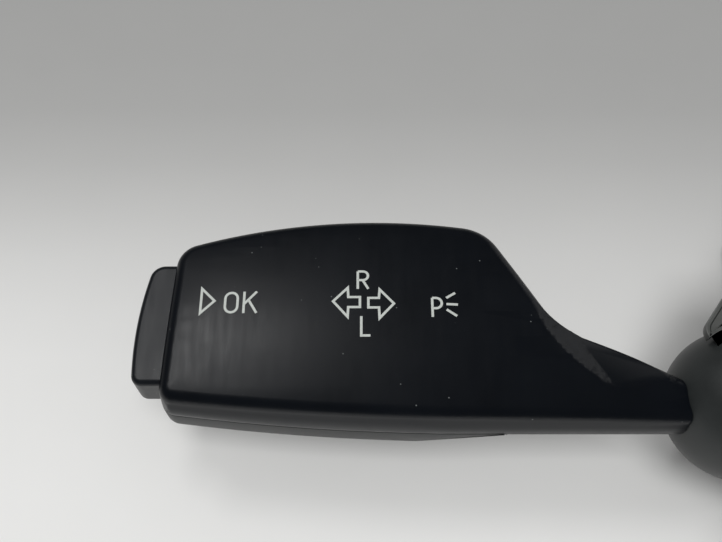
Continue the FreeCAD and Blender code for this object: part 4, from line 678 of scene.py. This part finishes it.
# Floor: a flat sheet of pale paper with painted shade, coloured greyer behind the unit, where
# light falls off.
# Each tone of the painted shade stands with its distance from the unit's middle in metres.
bpy.ops.object.select_all(action="DESELECT")
bpy.ops.mesh.primitive_plane_add(size=3.0, location=(0, 0, 0))
floor = bpy.context.object
floor.name = "paper_floor"
paper, tree, shader = new_material("pale_paper")
shader.inputs["Roughness"].default_value = 0.75
shader.inputs["Specular IOR Level"].default_value = 0.1
place = add_node(tree, "TexCoord").outputs["Object"]
apart = add_node(tree, "SeparateXYZ", {"Vector": place})
NEAR, FAR = -0.03, 0.62
behind = add_node(tree, "MapRange", {"Value": apart.outputs["Y"], "From Min": NEAR,
                                     "From Max": FAR})
fade = add_node(tree, "ValToRGB", {"Fac": behind.outputs["Result"]})
# Painted shade: the paper's colour darkens behind the unit and lightens again further back.
SHADE_TONES = [(-0.03, 0.82), (0.000, 0.78), (0.018, 0.745), (0.030, 0.70), (0.043, 0.631),
         (0.056, 0.541), (0.070, 0.456), (0.0855, 0.393), (0.1015, 0.372), (0.125, 0.358),
         (0.20, 0.36), (0.40, 0.60), (0.62, 0.72)]
ramp = fade.color_ramp
for number, (up, tone) in enumerate(SHADE_TONES):
    spot = (up - NEAR) / (FAR - NEAR)
    element = (ramp.elements[0] if number == 0 else ramp.elements[-1]
               if number == len(SHADE_TONES) - 1 else ramp.elements.new(spot))
    element.position = spot
    element.color = (tone, tone, tone * 0.985, 1)
fibres = add_node(tree, "TexNoise", {"Vector": place, "Scale": 60.0, "Detail": 4.0})
flecked = add_node(tree, "MapRange", {"Value": fibres.outputs["Fac"], "To Min": 0.985,
                                      "To Max": 1.015})
toned = add_node(tree, "VectorMath", {0: fade.outputs["Color"],
                                      "Scale": flecked.outputs["Result"]}, operation="SCALE")
tree.links.new(toned.outputs["Vector"], shader.inputs["Base Color"])
floor.data.materials.append(paper)

# Studio: a white room that lights the unit evenly, is pale to the camera and dim in what gloss
# shows of it, and three soft boxes.
world = bpy.data.worlds.new("studio")
bpy.context.scene.world = world
world.use_nodes = True
tree = world.node_tree
sky = tree.nodes["Background"]
sky.inputs["Strength"].default_value = 0.42
ray = add_node(tree, "LightPath")
dim = add_node(tree, "Background", {"Strength": 0.07})
backdrop = add_node(tree, "Background", {"Strength": 0.80})
for part in (sky, dim, backdrop):
    part.inputs["Color"].default_value = (1, 1, 1, 1)
unlit = add_node(tree, "MixShader", {0: ray.outputs["Is Glossy Ray"], 1: sky.outputs[0],
                                     2: dim.outputs[0]})
seen = add_node(tree, "MixShader", {0: ray.outputs["Is Camera Ray"], 1: unlit.outputs[0],
                                    2: backdrop.outputs[0]})
tree.links.new(seen.outputs[0], tree.nodes["World Output"].inputs["Surface"])


def soft_box(name, place, target, size, power, glossy=True):
    light = bpy.data.lights.new(name, "AREA")
    light.shape = "RECTANGLE"
    light.size, light.size_y = size
    light.energy = power
    item = bpy.data.objects.new(name, light)
    item.location = place
    item.rotation_euler = (Vector(target) - Vector(place)).to_track_quat("-Z", "Y").to_euler()
    item.visible_glossy = glossy
    bpy.context.scene.collection.objects.link(item)


soft_box("box_left", (-0.44, 0.325, 0.92), (-0.14, 0.01, 0.03), (0.3, 0.1), 1.6)
soft_box("box_above", (-0.1, -0.33, 1.2), (-0.1, 0.02, 0.0), (0.45, 0.45), 7.3, glossy=False)
soft_box("box_behind", (0.65, 0.66, 0.3), (-0.08, 0.01, 0.03), (0.5, 0.35), 0.45)

bpy.context.scene.view_settings.view_transform = "Standard"
camera = bpy.data.cameras.new("viewer")
camera.lens = 44.9
camera.sensor_width = 36.0
camera.clip_start = 0.005
viewer = bpy.data.objects.new("viewer", camera)
viewer.location = (-0.1301, -0.0535, 0.1835)
viewer.rotation_euler = (math.radians(27), 0, 0)
bpy.context.scene.collection.objects.link(viewer)
bpy.context.scene.camera = viewer
